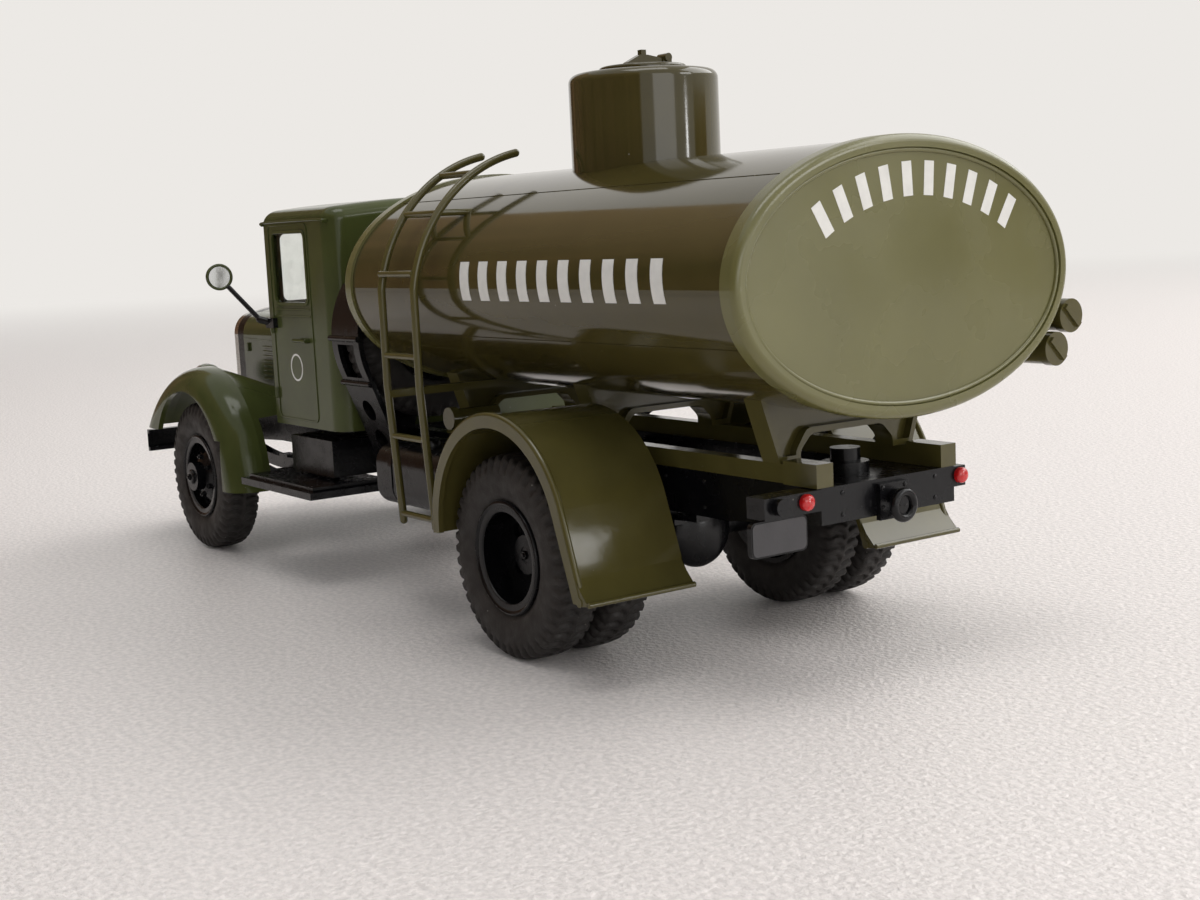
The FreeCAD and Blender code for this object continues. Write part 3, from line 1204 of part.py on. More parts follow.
def build_mirrors():
    """A round mirror turned outwards, on an arm that leans out and forward from the cab's front post."""
    pillar, side = val(along("cab_pillar")), val("cab_side")
    foot = Vector(pillar - val("mirror_back"), side, val("mirror_foot_height"))
    head = Vector(pillar + val("mirror_ahead"), val("mirror_side"), val("mirror_height"))
    radius = val("mirror_arm")
    lug = val("mirror_lug")
    knee = foot + Vector(3 * radius, 4 * radius, 1.5 * radius)
    arm = slot_box((foot.x - lug * 0.7, foot.x + lug * 0.3), (side, side + 2 * radius),
                   (foot.z - 2 * radius, foot.z + 2 * radius))
    arm = arm.fuse(Part.makeCylinder(radius * 1.5, (knee - foot).Length, foot, knee - foot))
    arm = arm.fuse(Part.makeSphere(radius * 1.5, knee))
    arm = arm.fuse(Part.makeCylinder(radius, (head - knee).Length, knee, head - knee))
    face = Vector(-1, 0.2, 0)
    face.normalize()
    wall, size, rim = val("mirror_wall"), val("mirror_radius"), val("lamp_rim")
    back = head - face * wall / 2
    arm = arm.fuse(Part.makeCylinder(size, wall, back, face))
    arm = arm.cut(slot_box((foot.x - lug, head.x), (0, side), (0, head.z)))
    recess = back + face * (wall - 0.15)
    glass = Part.makeCylinder(size - rim, 0.15, recess, face)
    room = Part.makeCylinder(size - rim, 1, recess, face)
    keep_couple("mirrors", feature("mirror_whole", arm.cut(room).removeSplitter()))
    keep("mirror_glasses", feature("mirror_panes", both_sides(glass)))


# Tank
def oval(x, half_width, half_height, length):
    """An elliptical cylinder along the truck about the tank's axis."""
    middle = Vector(x, 0, val("tank_middle"))
    ring = Part.Ellipse(middle + Vector(0, half_width, 0), middle + Vector(0, 0, half_height), middle)
    return Part.Face(Part.Wire([ring.toShape()])).extrude(Vector(length, 0, 0))


def build_tank():
    """The tank's skin, and at each end a rim with a round bead and a shallow dished plate."""
    a, b = val("tank_half_width"), val("tank_half_height")
    proud = val("rim_proud")
    rear, front = val("rear_axle - rear_overhang"), val(along("tank_front"))
    band = val("rim_band")
    skin = oval(rear + band, a - proud, b - proud, front - rear - 2 * band)
    keep("tank_shell", feature("tank", skin))
    rim = oval(rear, a, b, band)
    edges = [edge for edge in rim.Edges if edge.BoundBox.XMax < rear + 0.01 and edge.BoundBox.XLength < 0.01]
    rim = rim.makeFillet(val("rim_bead"), edges)
    ring = val("cap_ring")
    recess = oval(rear - 1, a - ring, b - ring, 1 + val("cap_recess"))
    rim = rim.cut(recess)
    keep("tank_cap_rear", feature("rear_cap", rim))
    middle = (rear + front) / 2
    flipped = rim.mirror(Vector(middle, 0, 0), Vector(1, 0, 0))
    keep("tank_cap_front", feature("front_cap", flipped))
    return skin


def build_dome(skin):
    """The filling dome on the tank, its hatch lid, and over it a hinged bar with a square-headed screw."""
    x = val(along("dome_place"))
    radius, top = val("dome_radius"), val("dome_top")
    dome = Part.makeCylinder(radius, top - val("tank_middle"), Vector(x, 0, val("tank_middle")))
    edges = [edge for edge in dome.Edges if edge.BoundBox.ZMin > top - 0.01]
    dome = dome.makeFillet(val("dome_edge"), edges).cut(skin)
    keep("dome", feature("dome_solid", dome))
    height, size, peak = val("hatch_height"), val("hatch_bar"), val("hatch_peak")
    lid = Part.makeCylinder(val("hatch_radius"), height, Vector(x, 0, top))
    lid = lid.makeFillet(height * 0.45, [edge for edge in lid.Edges if edge.BoundBox.ZMin > top + height / 2])
    low = top + height
    reach, lug = val("hatch_reach"), val("hatch_lug")
    left = x - size / 2
    outline = ((reach, 0), (reach * 0.9, peak * 0.3), (size * 0.6, peak), (-size * 0.6, peak),
               (-reach, peak * 0.75), (-reach, 0))
    points = [Vector(left, side, low + rise) for side, rise in outline]
    bar = Part.Face(Part.makePolygon(points + points[:1])).extrude(Vector(size, 0, 0))
    head = size * 0.4
    screw = slot_box((x - head, x + head), (-head, head), (low, low + peak + val("hatch_screw")))
    hinge = slot_box((x - lug / 2, x + lug / 2), (-reach - lug, -reach), (low, low + peak * 0.8))
    spot = Vector(x - lug * 0.7, -reach - lug / 2, low + peak * 0.8)
    eye = Part.makeCylinder(lug * 0.4, lug * 1.4, spot, Vector(1, 0, 0))
    keep("dome_hatch", feature("hatch", lid.fuse([bar, screw, hinge, eye]).removeSplitter()))


def build_bearers():
    """The two long bearers between the frame and the tank's saddles, each with a block at its rear end."""
    beam = box("bearer", (along("bearer_rear"), along("bearer_front")),
               ("beam_outer - bearer_width", "beam_outer"), ("rail_top", "bearer_top"))
    block = box("bearer_block", (along("bearer_rear"), along("bearer_rear + block_length")),
                ("beam_outer - bearer_width", "beam_outer + block_proud"),
                ("rail_top", "bearer_top + block_proud"))
    keep_couple("tank_bearers", fuse("bearer_whole", [beam, block]))


def saddle_trapezium(x, length, grow):
    """The saddle's outline between its feet and the tank's axis, grown all round, as a block."""
    foot, top = val("bearer_top"), val("tank_middle")
    half = val("saddle_foot_half")
    spread = (val("saddle_top_half") - half) / (val("tank_middle - tank_half_height / 2") - foot)
    wide = half + spread * (top - foot)
    points = [Vector(x, -half - grow, foot), Vector(x, half + grow, foot), Vector(x, wide + grow, top),
              Vector(x, -wide - grow, top)]
    return Part.Face(Part.makePolygon(points + points[:1])).extrude(Vector(length, 0, 0))


def saddle_arch(x, length, grow):
    """The opening between a saddle's feet, shrunk all round, with rounded corners."""
    foot, arch = val("bearer_top"), val("saddle_arch")
    half = val("saddle_foot_half - saddle_leg") - grow
    rise = foot + arch - grow
    bend = foot + 0.4 * arch
    points = [Vector(x, -half, foot - arch), Vector(x, half, foot - arch), Vector(x, half, bend),
              Vector(x, half - 0.6 * arch, rise), Vector(x, -half + 0.6 * arch, rise), Vector(x, -half, bend)]
    block = Part.Face(Part.makePolygon(points + points[:1])).extrude(Vector(length, 0, 0))
    edges = [edge for edge in block.Edges if edge.BoundBox.XLength > length / 2 and edge.BoundBox.ZMin > foot]
    return block.makeFillet(val("saddle_round"), edges)


def saddle(x, skin):
    """A saddle: a trapezium web with an arch between its feet, flanged all round."""
    web, flange, lip = val("saddle_web"), val("saddle_flange"), val("saddle_lip")
    foot, foot_half = val("bearer_top"), val("saddle_foot_half")
    low = x - flange / 2
    block = saddle_trapezium(low, flange, 0)
    frame = block.cut(saddle_trapezium(low - 1, flange + 2, -lip))
    rim = saddle_arch(low, flange, -lip).cut(saddle_arch(low - 1, flange + 2, 0)).common(block)
    plate = saddle_trapezium(x - web / 2, web, 0).cut(saddle_arch(low, flange, 0))
    pads = []
    for sign in (1, -1):
        y = sorted((sign * foot_half, sign * (foot_half - val("saddle_leg"))))
        pads.append(slot_box((low, low + flange), y, (foot, foot + lip)))
    return frame.fuse([rim, plate] + pads).cut(skin).removeSplitter()


def build_saddles(skin):
    shapes = [saddle(val(along("saddle_" + name)), skin) for name in ("rear", "middle", "front")]
    keep("tank_saddles", feature("saddles", Part.makeCompound(shapes)))


def build_mudguards():
    """Rear mudguards: an arch of sheet with an outer lip, and a flap that flares to a curled edge."""
    x, z = along("guard_place"), "guard_height"
    inner_radius = "(guard_radius - guard_sheet)"

    def spot(radius, angle):
        return (f"{x} + {radius} * cos({angle})", f"{z} + {radius} * sin({angle})")

    fall = f"({z} + guard_radius * sin(guard_rear) - guard_low)"
    back = f"{x} + guard_radius * cos(guard_rear) - {fall} * tan(180 - guard_rear)"
    inner_back = f"{back} + guard_sheet / cos(180 - guard_rear)"
    body = new_body("guard")
    front_out, front_in = spot("guard_radius", "guard_front"), spot(inner_radius, "guard_front")
    rear_out, rear_in = spot("guard_radius", "guard_rear"), spot(inner_radius, "guard_rear")
    top_out, top_in = spot("guard_radius", "90"), spot(inner_radius, "90")
    pad(body, "XZ_Plane", [
        (*front_out, "-guard_radius"),
        (*top_out, "-guard_radius"),
        rear_out,
        (back, "guard_low"),
        (inner_back, "guard_low"),
        (*rear_in, inner_radius),
        (*top_in, inner_radius),
        front_in,
    ], "guard_inner", "guard_outer")
    doc.recompute()
    deep = "(guard_radius - guard_lip)"
    lip_front, lip_top, lip_rear = spot(deep, "guard_front"), spot(deep, "90"), spot(deep, "guard_rear")
    lip = new_body("guard_edge")
    pad(lip, "XZ_Plane", [
        (*front_out, "-guard_radius"),
        (*top_out, "-guard_radius"),
        rear_out,
        (back, "guard_low"),
        (f"{back} + guard_lip", "guard_low"),
        (*lip_rear, deep),
        (*lip_top, deep),
        lip_front,
    ], "guard_outer - guard_sheet", "guard_outer")
    curl = rod("guard_roll", "y", "guard_curl", "guard_outer - guard_inner",
               (f"{back} + guard_sheet / 2", "guard_inner", "guard_low + guard_curl / 2"))
    keep_pair("mudguard", fuse("mudguard_whole", [body, lip, curl]))


def ladder_line(x):
    """The line of a ladder post: up from its foot, past the tank's side and over its shoulder."""
    middle, stand = val("tank_middle"), val("ladder_stand")
    wide = val("tank_half_width") + stand
    high = val("tank_half_height") + stand + val("ladder_over")
    foot = Vector(x, wide - val("ladder_lean"), val("ladder_foot"))
    knee = Vector(x, wide, middle - val("ladder_knee"))
    side = Vector(x, wide, middle)
    reach = math.radians(val("ladder_tip"))
    turn = 0.58 * reach
    bend = Vector(x, wide * math.cos(turn), middle + high * math.sin(turn))
    tip = Vector(x, wide * math.cos(reach), middle + high * math.sin(reach))
    return foot, knee, side, bend, tip


def post_shape(x, radius):
    """A round post along the ladder's line: two straight runs and one bent over the tank."""
    foot, knee, side, mid, tip = ladder_line(x)
    arc = Part.Arc(side, mid, tip)
    circle = Part.Wire([Part.Circle(side, arc.tangent(arc.FirstParameter)[0], radius).toShape()])
    bend = Part.Wire([arc.toShape()]).makePipeShell([circle], True, False)
    pieces = [Part.makeCylinder(radius, (knee - foot).Length, foot, knee - foot),
              Part.makeCylinder(radius, (side - knee).Length, knee, side - knee),
              Part.makeSphere(radius, foot), Part.makeSphere(radius, knee),
              Part.makeSphere(radius, side), Part.makeSphere(radius, tip)]
    return bend.fuse(pieces)


def build_ladder(skin):
    """Two round posts, their rungs, and stays to the tank and to the bearer below."""
    front, rear = val(along("ladder_front")), val(along("ladder_rear"))
    radius, thin = val("ladder_radius"), val("rung_radius")
    foot, knee, side, bend, tip = ladder_line(rear)
    arc = Part.Arc(side, bend, tip)
    start, length = arc.FirstParameter, arc.length()
    low_bend, high_bend = (arc.value(arc.parameterAtDistance(length * share, start))
                           for share in (0.42, 0.72))
    spots = [low_bend, high_bend]
    for name in ("rung_low", "rung_second", "rung_third", "rung_fourth"):
        height = val(name)
        share = min(1, (height - foot.z) / (knee.z - foot.z))
        spots.append(Vector(rear, foot.y + (knee.y - foot.y) * share, height))
    pieces = [post_shape(rear, radius)]
    pieces += [Part.makeCylinder(thin, front - rear, spot, Vector(1, 0, 0)) for spot in spots]
    pieces += [Part.makeCylinder(thin, low_bend.y / 2, Vector(x, low_bend.y, low_bend.z), Vector(0, -1, 0))
               for x in (front, rear)]
    low, half = val("stay_height"), val("stay_half")
    pieces.append(slot_box((front - half, front + half), (val("beam_outer - bearer_width"), knee.y),
                           (low - val("stay_wall"), low)))
    whole = post_shape(front, radius).fuse(pieces).cut(skin)
    keep("ladder", feature("ladder_whole", whole.removeSplitter()))


# Frame-mounted pieces
def build_fuel_tank():
    """A rounded fuel tank on the left, held by two arms from the frame rail."""
    rear, length = val(along("fuel_rear")), val("fuel_length")
    inner, outer = val("fuel_inner"), val("fuel_outer")
    low, top = val("fuel_low"), val("fuel_top")
    block = slot_box((rear, rear + length), (inner, outer), (low, top))
    edges = [edge for edge in block.Edges if edge.BoundBox.XLength > length / 2]
    block = block.makeFillet(val("fuel_round"), edges)
    half, high = val("strap_width") / 2, val("strap_height")
    middle = (low + top) / 2
    for share in (0.22, 0.78):
        x = rear + length * share
        arm = slot_box((x - half, x + half), (val("rail_outer"), inner + half), (middle, middle + high))
        block = block.fuse(arm)
    keep("fuel_tank", feature("fuel", block.removeSplitter()))


def build_battery_box():
    """A square box on the left rail under the cab."""
    block = box("battery", (along("box_rear"), along("box_rear + box_length")), ("rail_outer", "box_outer"),
                ("box_low", "box_top"))
    keep("battery_box", block)


def build_spare():
    """The spare wheel upright behind the cab, with the carrier that holds it."""
    turn = Placement(Vector(), Rotation(Vector(0, 0, 1), 90))
    tyre = tyre_body("spare_tyre_body")
    rim = new_body("spare_rim_body")
    turned(rim, rim_profile("0", "disc_dish"))
    hand_holes(rim, "-1", "disc_dish + disc_wall + 1")
    for body in (tyre, rim):
        body.Placement = turn
        place(body, along("spare_place"), "spare_side", "spare_height")
    keep("spare_tyre", tyre)
    keep("spare_rim", rim)
    keep("spare_carrier", feature("carrier_whole", carrier_shape()))


def beside_tyre(radius, lean, slide=0.0):
    """A place around the spare wheel at a lean below its middle, slid on straight down the tangent."""
    turn = math.radians(lean)
    hub = Vector(0, val("spare_side"), val("spare_height"))
    out = Vector(0, math.cos(turn), -math.sin(turn))
    down = Vector(0, -math.sin(turn), -math.cos(turn))
    return hub + out * radius + down * slide


def carrier_band(x, width, inner, outer):
    """The band: round the tyre's side, straight down with the lean, and in along its foot to the rail."""
    top, lean = -val("carrier_top"), val("carrier_lean")
    rail, base = val("rail_outer"), val("carrier_foot")
    fall = math.cos(math.radians(lean))
    toe, heel = ((beside_tyre(radius, lean).z - height) / fall
                 for radius, height in ((outer, base), (inner, base + outer - inner)))
    points = [beside_tyre(outer, top), beside_tyre(outer, lean), beside_tyre(outer, lean, toe),
              Vector(0, rail, base), Vector(0, rail, base + outer - inner), beside_tyre(inner, lean, heel),
              beside_tyre(inner, lean), beside_tyre(inner, top)]
    middle = (top + lean) / 2
    edges = [Part.Arc(points[0], beside_tyre(outer, middle), points[1])]
    edges += [Part.LineSegment(points[step], points[step + 1]) for step in range(1, 6)]
    edges.append(Part.Arc(points[6], beside_tyre(inner, middle), points[7]))
    edges.append(Part.LineSegment(points[7], points[0]))
    band = Part.Face(Part.Wire([edge.toShape() for edge in edges])).extrude(Vector(width, 0, 0))
    band.translate(Vector(x, 0, 0))
    return band, points[2]


def carrier_cheek(x, wall, radius, toe):
    """The plate between the wheel and the cab, from the band's foot up to the wheel's middle."""
    arm, lean = val("carrier_arm"), val("carrier_lean")
    y, z = val("spare_side"), val("spare_height")
    rail, above = val("rail_outer"), val("rail_top") + wall
    points = [beside_tyre(radius, lean), toe, Vector(0, rail, toe.z), Vector(0, rail, above),
              Vector(0, y - arm, z - arm), Vector(0, y - arm, z + arm), Vector(0, y + arm, z + arm),
              beside_tyre(radius, 0)]
    plate = Part.Face(Part.makePolygon(points + points[:1])).extrude(Vector(wall, 0, 0))
    plate.translate(Vector(x, 0, 0))
    return plate


def carrier_shape():
    """The spare wheel's carrier: a band with a slot, two holes and two hinge pins, and a cheek plate."""
    wall, gap = val("carrier_wall"), val("carrier_gap")
    inner = val("wheel_radius") + gap
    outer = inner + wall
    half = val("tyre_width") / 2 + gap + wall
    middle = val(along("spare_place"))
    band, toe = carrier_band(middle - half, 2 * half, inner, outer)
    lean, pin = val("carrier_lean"), val("carrier_pin")
    high, low = beside_tyre(outer, 0), beside_tyre(outer, lean, val("carrier_low_pin"))
    slot = val("carrier_slot") / 2
    cuts = [slot_box((middle - slot, middle + slot), (low.y - 2 * wall, high.y + wall),
                     (low.z + 2 * pin, high.z - 2 * pin))]
    out = Vector(0, low.y - val("spare_side"), low.z - val("spare_height")).normalize()
    for index in range(2):
        spot = beside_tyre(inner - wall, lean, val("carrier_first") + index * val("carrier_pitch"))
        cuts.append(Part.makeCylinder(val("carrier_hole"), 3 * wall, spot + Vector(middle, 0, 0), out))
    start = Vector(middle - half, 0, 0)
    pins = [Part.makeCylinder(pin, 2 * half + pin, start + spot, Vector(1, 0, 0)) for spot in (high, low)]
    cheek = carrier_cheek(middle + half - wall, wall, outer, toe)
    return band.cut(cuts).fuse([cheek] + pins).removeSplitter()


def build_hoses():
    """Two hose tubes along the right side with wing-nut caps, on two brackets from the bearer."""
    rear, front = val(along("hose_rear")), val(along("hose_front"))
    radius, cap, step = val("hose_radius"), val("hose_cap"), val("hose_step")
    thin = radius - val("hose_lid")
    wing, half = val("hose_wing"), val("hose_wing_wall") / 2
    tubes, rooms = [], []
    for name in ("upper", "lower"):
        y, z = -val(f"hose_{name}_side"), val(f"hose_{name}_height")
        tube = Part.makeCylinder(thin, front - rear - cap, Vector(rear + cap, y, z), Vector(1, 0, 0))
        lid = Part.makeCylinder(radius, cap - step, Vector(rear + step, y, z), Vector(1, 0, 0))
        bar = slot_box((rear, rear + 1.2 * step), (-wing, wing), (-half, half))
        bar.rotate(Vector(rear, 0, 0), Vector(1, 0, 0), 45)
        bar.translate(Vector(0, y, z))
        tubes.append(tube.fuse([lid, bar]).removeSplitter())
        rooms.append(Part.makeCylinder(thin, 3 * (front - rear), Vector(2 * rear - front, y, z),
                                       Vector(1, 0, 0)))
    keep("hose_tubes", feature("tubes", Part.makeCompound(tubes)))
    arms = [hose_arm(val(along("bracket_" + name)), radius, rooms) for name in ("rear", "front")]
    keep("hose_brackets", feature("brackets", Part.makeCompound(arms)))


def hose_arm(x, radius, rooms):
    """A bracket from the bearer that cradles both tubes from below."""
    wall = val("bracket_wall")
    left = x - wall / 2
    side, high = -val("hose_upper_side"), val("hose_upper_height")
    low_side, low_high = -val("hose_lower_side"), val("hose_lower_height")
    inner, top = -val("beam_outer"), val("bearer_top")
    lip = radius / 4
    points = [Vector(left, inner, top - wall), Vector(left, low_side, low_high - radius - wall),
              Vector(left, side - radius - lip, high - radius / 2), Vector(left, side - radius - lip, high),
              Vector(left, side, high), Vector(left, low_side, low_high),
              Vector(left, low_side + radius + lip, low_high),
              Vector(left, low_side + radius + lip, low_high - radius), Vector(left, inner, top)]
    arm = Part.Face(Part.makePolygon(points + points[:1])).extrude(Vector(wall, 0, 0)).cut(rooms)
    return max(arm.Solids, key=lambda solid: solid.Volume)


def build_tail():
    """Lamp brackets beside the rear beam, the lamps on them and the number plate below."""
    rear = along("rail_rear - end_beam_width")
    front = along("rail_rear + end_beam_width")
    height = ("tail_plate_low", "rail_top - seat_gap")
    left = box("left_bracket", (rear, front), ("rail_outer", "tail_plate_outer"), height)
    behind = f"{rear} - tail_proud"
    shade = rod("dark_lamp", "x", "tail_radius", "tail_proud", (behind, "shade_side", "tail_height"))
    right = box("right_bracket", (rear, front), ("-tail_side_right - tail_radius", "-rail_outer"), height)
    keep("lamp_brackets", fuse("lamp_brackets_whole", [left, shade, right]))
    lenses = [rod("tail_lens", "x", "tail_radius", "tail_proud", (behind, side, "tail_height"))
              for side in ("tail_side", "-tail_side_right")]
    keep("tail_lamps", fuse("tail_lenses", lenses))
    back = val(rear)
    plate = slot_box((back, back + val("plate_wall")), (val("plate_inner"), val("plate_outer")),
                     (val("plate_low"), val("tail_plate_low")))
    edges = [edge for edge in plate.Edges if edge.BoundBox.XLength > val("plate_wall") / 2]
    keep("number_plate", feature("plate", plate.makeFillet(val("plate_round"), edges)))


def build_valve():
    """A capped outlet pipe under the front of the tank, on a foot on the left bearer."""
    x, radius = val(along("valve_place")), val("valve_radius")
    length, cap = val("valve_length"), val("valve_cap")
    wide = val("bearer_width") / 2
    inner, top = val("beam_outer") - wide, val("bearer_top")
    height = top + val("valve_rise")
    pipe = Part.makeCylinder(radius, length, Vector(x, inner, height), Vector(0, 1, 0))
    lid = Part.makeCylinder(radius * 1.23, cap, Vector(x, inner + length - cap, height), Vector(0, 1, 0))
    foot = slot_box((x - wide, x + wide), (inner - wide, inner + wide), (top, height))
    keep("outlet_valve", feature("valve", pipe.fuse([lid, foot]).removeSplitter()))


def check_model():
    """Stop if any object failed or any sub-part is not a sound shape."""
    doc.recompute()
    for item in doc.Objects:
        if "Invalid" in item.State or "Error" in item.State:
            raise RuntimeError(f"{item.Name} failed: {item.State}")
    for label, piece in parts.items():
        shape = piece.Shape
        if shape.isNull() or not shape.isValid() or not shape.Solids:
            raise RuntimeError(f"{label} is not a sound shape")


def write_parts():
    os.makedirs("parts", exist_ok=True)
    for label, piece in parts.items():
        piece.Shape.exportStep(f"parts/{label}.step")


fill_sheet()
build_tyres()
build_rims()
build_rails()
build_crossmembers()
build_rear_beam()
build_hook()
build_bumper()
build_springs()
build_front_axle()
build_rear_axle()
build_driveline()
cab_outside = build_cab()
build_interior()
hood_shape = build_hood(cab_outside)
build_radiator()
build_front_fenders(hood_shape)
build_headlamps()
build_steps()
build_mirrors()
tank_skin = build_tank()
build_dome(tank_skin)
build_bearers()
build_saddles(tank_skin)
build_mudguards()
build_ladder(tank_skin)
build_fuel_tank()
build_battery_box()
build_spare()
build_hoses()
build_tail()
build_valve()
check_model()
write_parts()
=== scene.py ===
import json
import math

import bpy
import numpy as np
from bpy.props import FloatProperty, FloatVectorProperty, IntProperty, PointerProperty
from mathutils import Matrix, Vector

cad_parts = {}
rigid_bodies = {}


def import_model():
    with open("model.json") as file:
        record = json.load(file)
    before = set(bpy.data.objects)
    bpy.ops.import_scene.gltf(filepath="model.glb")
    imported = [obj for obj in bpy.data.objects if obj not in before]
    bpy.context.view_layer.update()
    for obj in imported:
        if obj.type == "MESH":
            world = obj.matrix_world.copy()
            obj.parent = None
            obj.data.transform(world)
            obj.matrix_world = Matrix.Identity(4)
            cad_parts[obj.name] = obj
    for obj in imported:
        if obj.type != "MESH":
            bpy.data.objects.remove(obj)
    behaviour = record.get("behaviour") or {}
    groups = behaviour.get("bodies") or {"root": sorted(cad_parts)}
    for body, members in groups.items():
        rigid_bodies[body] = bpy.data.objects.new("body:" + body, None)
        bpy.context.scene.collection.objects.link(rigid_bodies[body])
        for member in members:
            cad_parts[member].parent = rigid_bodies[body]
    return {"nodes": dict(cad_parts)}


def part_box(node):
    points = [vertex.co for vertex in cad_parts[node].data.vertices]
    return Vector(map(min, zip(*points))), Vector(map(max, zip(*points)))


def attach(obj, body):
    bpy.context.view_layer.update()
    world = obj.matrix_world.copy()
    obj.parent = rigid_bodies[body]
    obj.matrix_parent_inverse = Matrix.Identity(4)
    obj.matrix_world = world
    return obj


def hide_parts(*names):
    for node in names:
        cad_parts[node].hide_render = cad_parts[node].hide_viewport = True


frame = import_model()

bl_info = {
    "name": "Scale Model Tanker Truck",
    "version": (1, 0, 0),
    "blender": (4, 5, 0),
    "location": "3D Viewport > Sidebar > Tanker",
    "description": "Dresses a packed tanker truck model with finishes and small pieces",
    "category": "Object",
}

for stray in [item for item in bpy.data.objects if item.name in ("Cube", "Light", "Camera")]:
    bpy.data.objects.remove(stray)
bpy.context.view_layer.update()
MM = 0.001
X, Y, Z = np.eye(3)
TRUCK = "truck"
WHEELS = {
    "front_left": "wheel_front_left",
    "front_right": "wheel_front_right",
    "rear_left": "wheels_rear_left",
    "rear_right": "wheels_rear_right",
}


def tint(red, green, blue):
    """A colour in screen values of 0 to 255, as the linear colour that the shaders mix."""
    screen = np.array([red, green, blue]) / 255
    linear = np.where(screen <= 0.04045, screen / 12.92, ((screen + 0.055) / 1.055) ** 2.4)
    return tuple(float(part) for part in linear)


def colour_prop(name, description, screen):
    """A colour that a user may change, given in screen values."""
    return FloatVectorProperty(name=name, description=description, default=tint(*screen), size=3,
                               min=0, max=1, subtype="COLOR")


def length_prop(name, description, millimetres):
    """A length that a user may change."""
    return FloatProperty(name=name, description=description, default=millimetres * MM, min=0,
                         unit="LENGTH", precision=5)


class TANKER_PG_colours(bpy.types.PropertyGroup):
    tank: colour_prop("Tank", "Glossy olive of the tank's skin and dome", (68, 61, 30))
    cap: colour_prop("End caps", "Satin olive of the tank's end caps", (102, 99, 58))
    satin: colour_prop("Mudguards", "Satin olive of mudguards, ladder and bearers", (80, 74, 38))
    cab: colour_prop("Cab", "Green of the cab, hood and front fenders", (66, 72, 37))
    chassis: colour_prop("Chassis", "Black of the chassis", (13, 13, 15))
    tyre: colour_prop("Tyres", "Matt dark grey of the tyres", (40, 37, 35))
    inside: colour_prop("Cab inside", "Dark lining of the cab", (42, 40, 35))
    metal: colour_prop("Bright metal", "Bare bright metal", (186, 186, 182))
    plate: colour_prop("Blank plate", "Dark grey of the blank number plate", (52, 50, 52))
    lens: colour_prop("Tail lenses", "Red of the tail lamps", (200, 24, 28))
    mark: colour_prop("Marks", "White of the stencilled bars", (224, 222, 216))
    floor: colour_prop("Floor", "Pale sheet that the model stands on", (230, 222, 217))


class TANKER_PG_sizes(bpy.types.PropertyGroup):
    lug_count: IntProperty(name="Tread lugs", description="Lugs round one side of a tyre's tread",
                           default=46, min=12, max=90)
    lug_depth: length_prop("Lug depth", "Depth of the grooves between a tyre's lugs", 0.38)
    nut_radius: length_prop("Wheel nuts", "Corner radius of a wheel nut", 0.46)
    rivet_radius: length_prop("Rivets", "Radius of a rivet's head on the frame", 0.26)
    seam_width: length_prop("Tank seams", "Width of a seam along the tank", 0.3)
    mark_height: length_prop("Mark height", "Height of a white bar on the rear cap", 3.8)
    mark_width: length_prop("Mark width", "Width of a white bar on the tank's side", 2.1)
    moulding_width: length_prop("Mouldings", "Width of the raised lines on the doors", 0.32)
    louvre_count: IntProperty(name="Louvres", description="Louvres on one side of the hood",
                              default=8, min=2, max=16)
    mark_count: IntProperty(name="Marks", description="White bars in one row",
                            default=10, min=2, max=20)
    badge_radius: length_prop("Door ring", "Radius of the bare ring on each door", 2.2)


# Shapes. A shape is its points and its four- and three-cornered faces, all as arrays.
def mm(*numbers):
    """Numbers or rows of numbers in millimetres, as an array in metres."""
    return np.array(numbers, float) * MM


def points_at(x, y, z):
    """Points from three coordinates, each a number or an array."""
    return np.stack(np.broadcast_arrays(x, y, z), -1)


def full_turn(steps):
    """Angles evenly spaced over a full circle."""
    return np.linspace(0, 2 * np.pi, steps, endpoint=False)


def spin(turn):
    """Directions in a plane: (cos t, sin t)."""
    return np.stack([np.cos(turn), np.sin(turn)], -1)


def units(rows):
    """Each row as a direction of length one."""
    return rows / np.linalg.norm(rows, axis=1)[:, None]


def outward(shape):
    """Turn the faces round if the skin's volume, a sixth of the sum of a.(b x c), is negative."""
    points, quads, fans = shape
    corners = np.vstack([quads[:, [0, 1, 2]], quads[:, [0, 2, 3]], fans])
    a, b, c = (points[corners[:, side]] - points.mean(0) for side in range(3))
    if np.einsum("ij,ij->", a, np.cross(b, c)) < 0:
        quads, fans = quads[:, ::-1], fans[:, ::-1]
    return points, quads, fans


def loft(rings, closed=False):
    """A skin over rings of points, each joined to the next; open ends get a fan to their middle."""
    rings = np.asarray(rings, float)
    count, around = rings.shape[:2]
    here = np.arange(count * around).reshape(count, around)
    beside = np.roll(here, -1, axis=1)
    ahead, ahead_beside = np.roll(here, -1, axis=0), np.roll(beside, -1, axis=0)
    rows = slice(None) if closed else slice(0, count - 1)
    quads = np.stack([here[rows], beside[rows], ahead_beside[rows], ahead[rows]], -1).reshape(-1, 4)
    points = rings.reshape(-1, 3)
    fans = np.empty((0, 3), int)
    if not closed:
        hub = np.full(around, count * around)
        points = np.vstack([points, rings[[0, -1]].mean(1)])
        fans = np.vstack([np.stack([hub, beside[0], here[0]], -1),
                          np.stack([hub + 1, here[-1], beside[-1]], -1)])
    return outward((points, quads, fans))


def join(shapes):
    """Several shapes as one, with each one's corner numbers moved on past the last one's points."""
    starts = np.cumsum([0] + [len(shape[0]) for shape in shapes[:-1]])
    return tuple(np.vstack([shape[part] + (start if part else 0)
                            for shape, start in zip(shapes, starts)]) for part in range(3))


def flipped(shape):
    """The shape's mirror image across the truck: y changes sign, and each face turns round."""
    points, quads, fans = shape
    return points * (1, -1, 1), quads[:, ::-1], fans[:, ::-1]


def both_sides(shape):
    """The shape and its mirror image across the truck."""
    return join([shape, flipped(shape)])


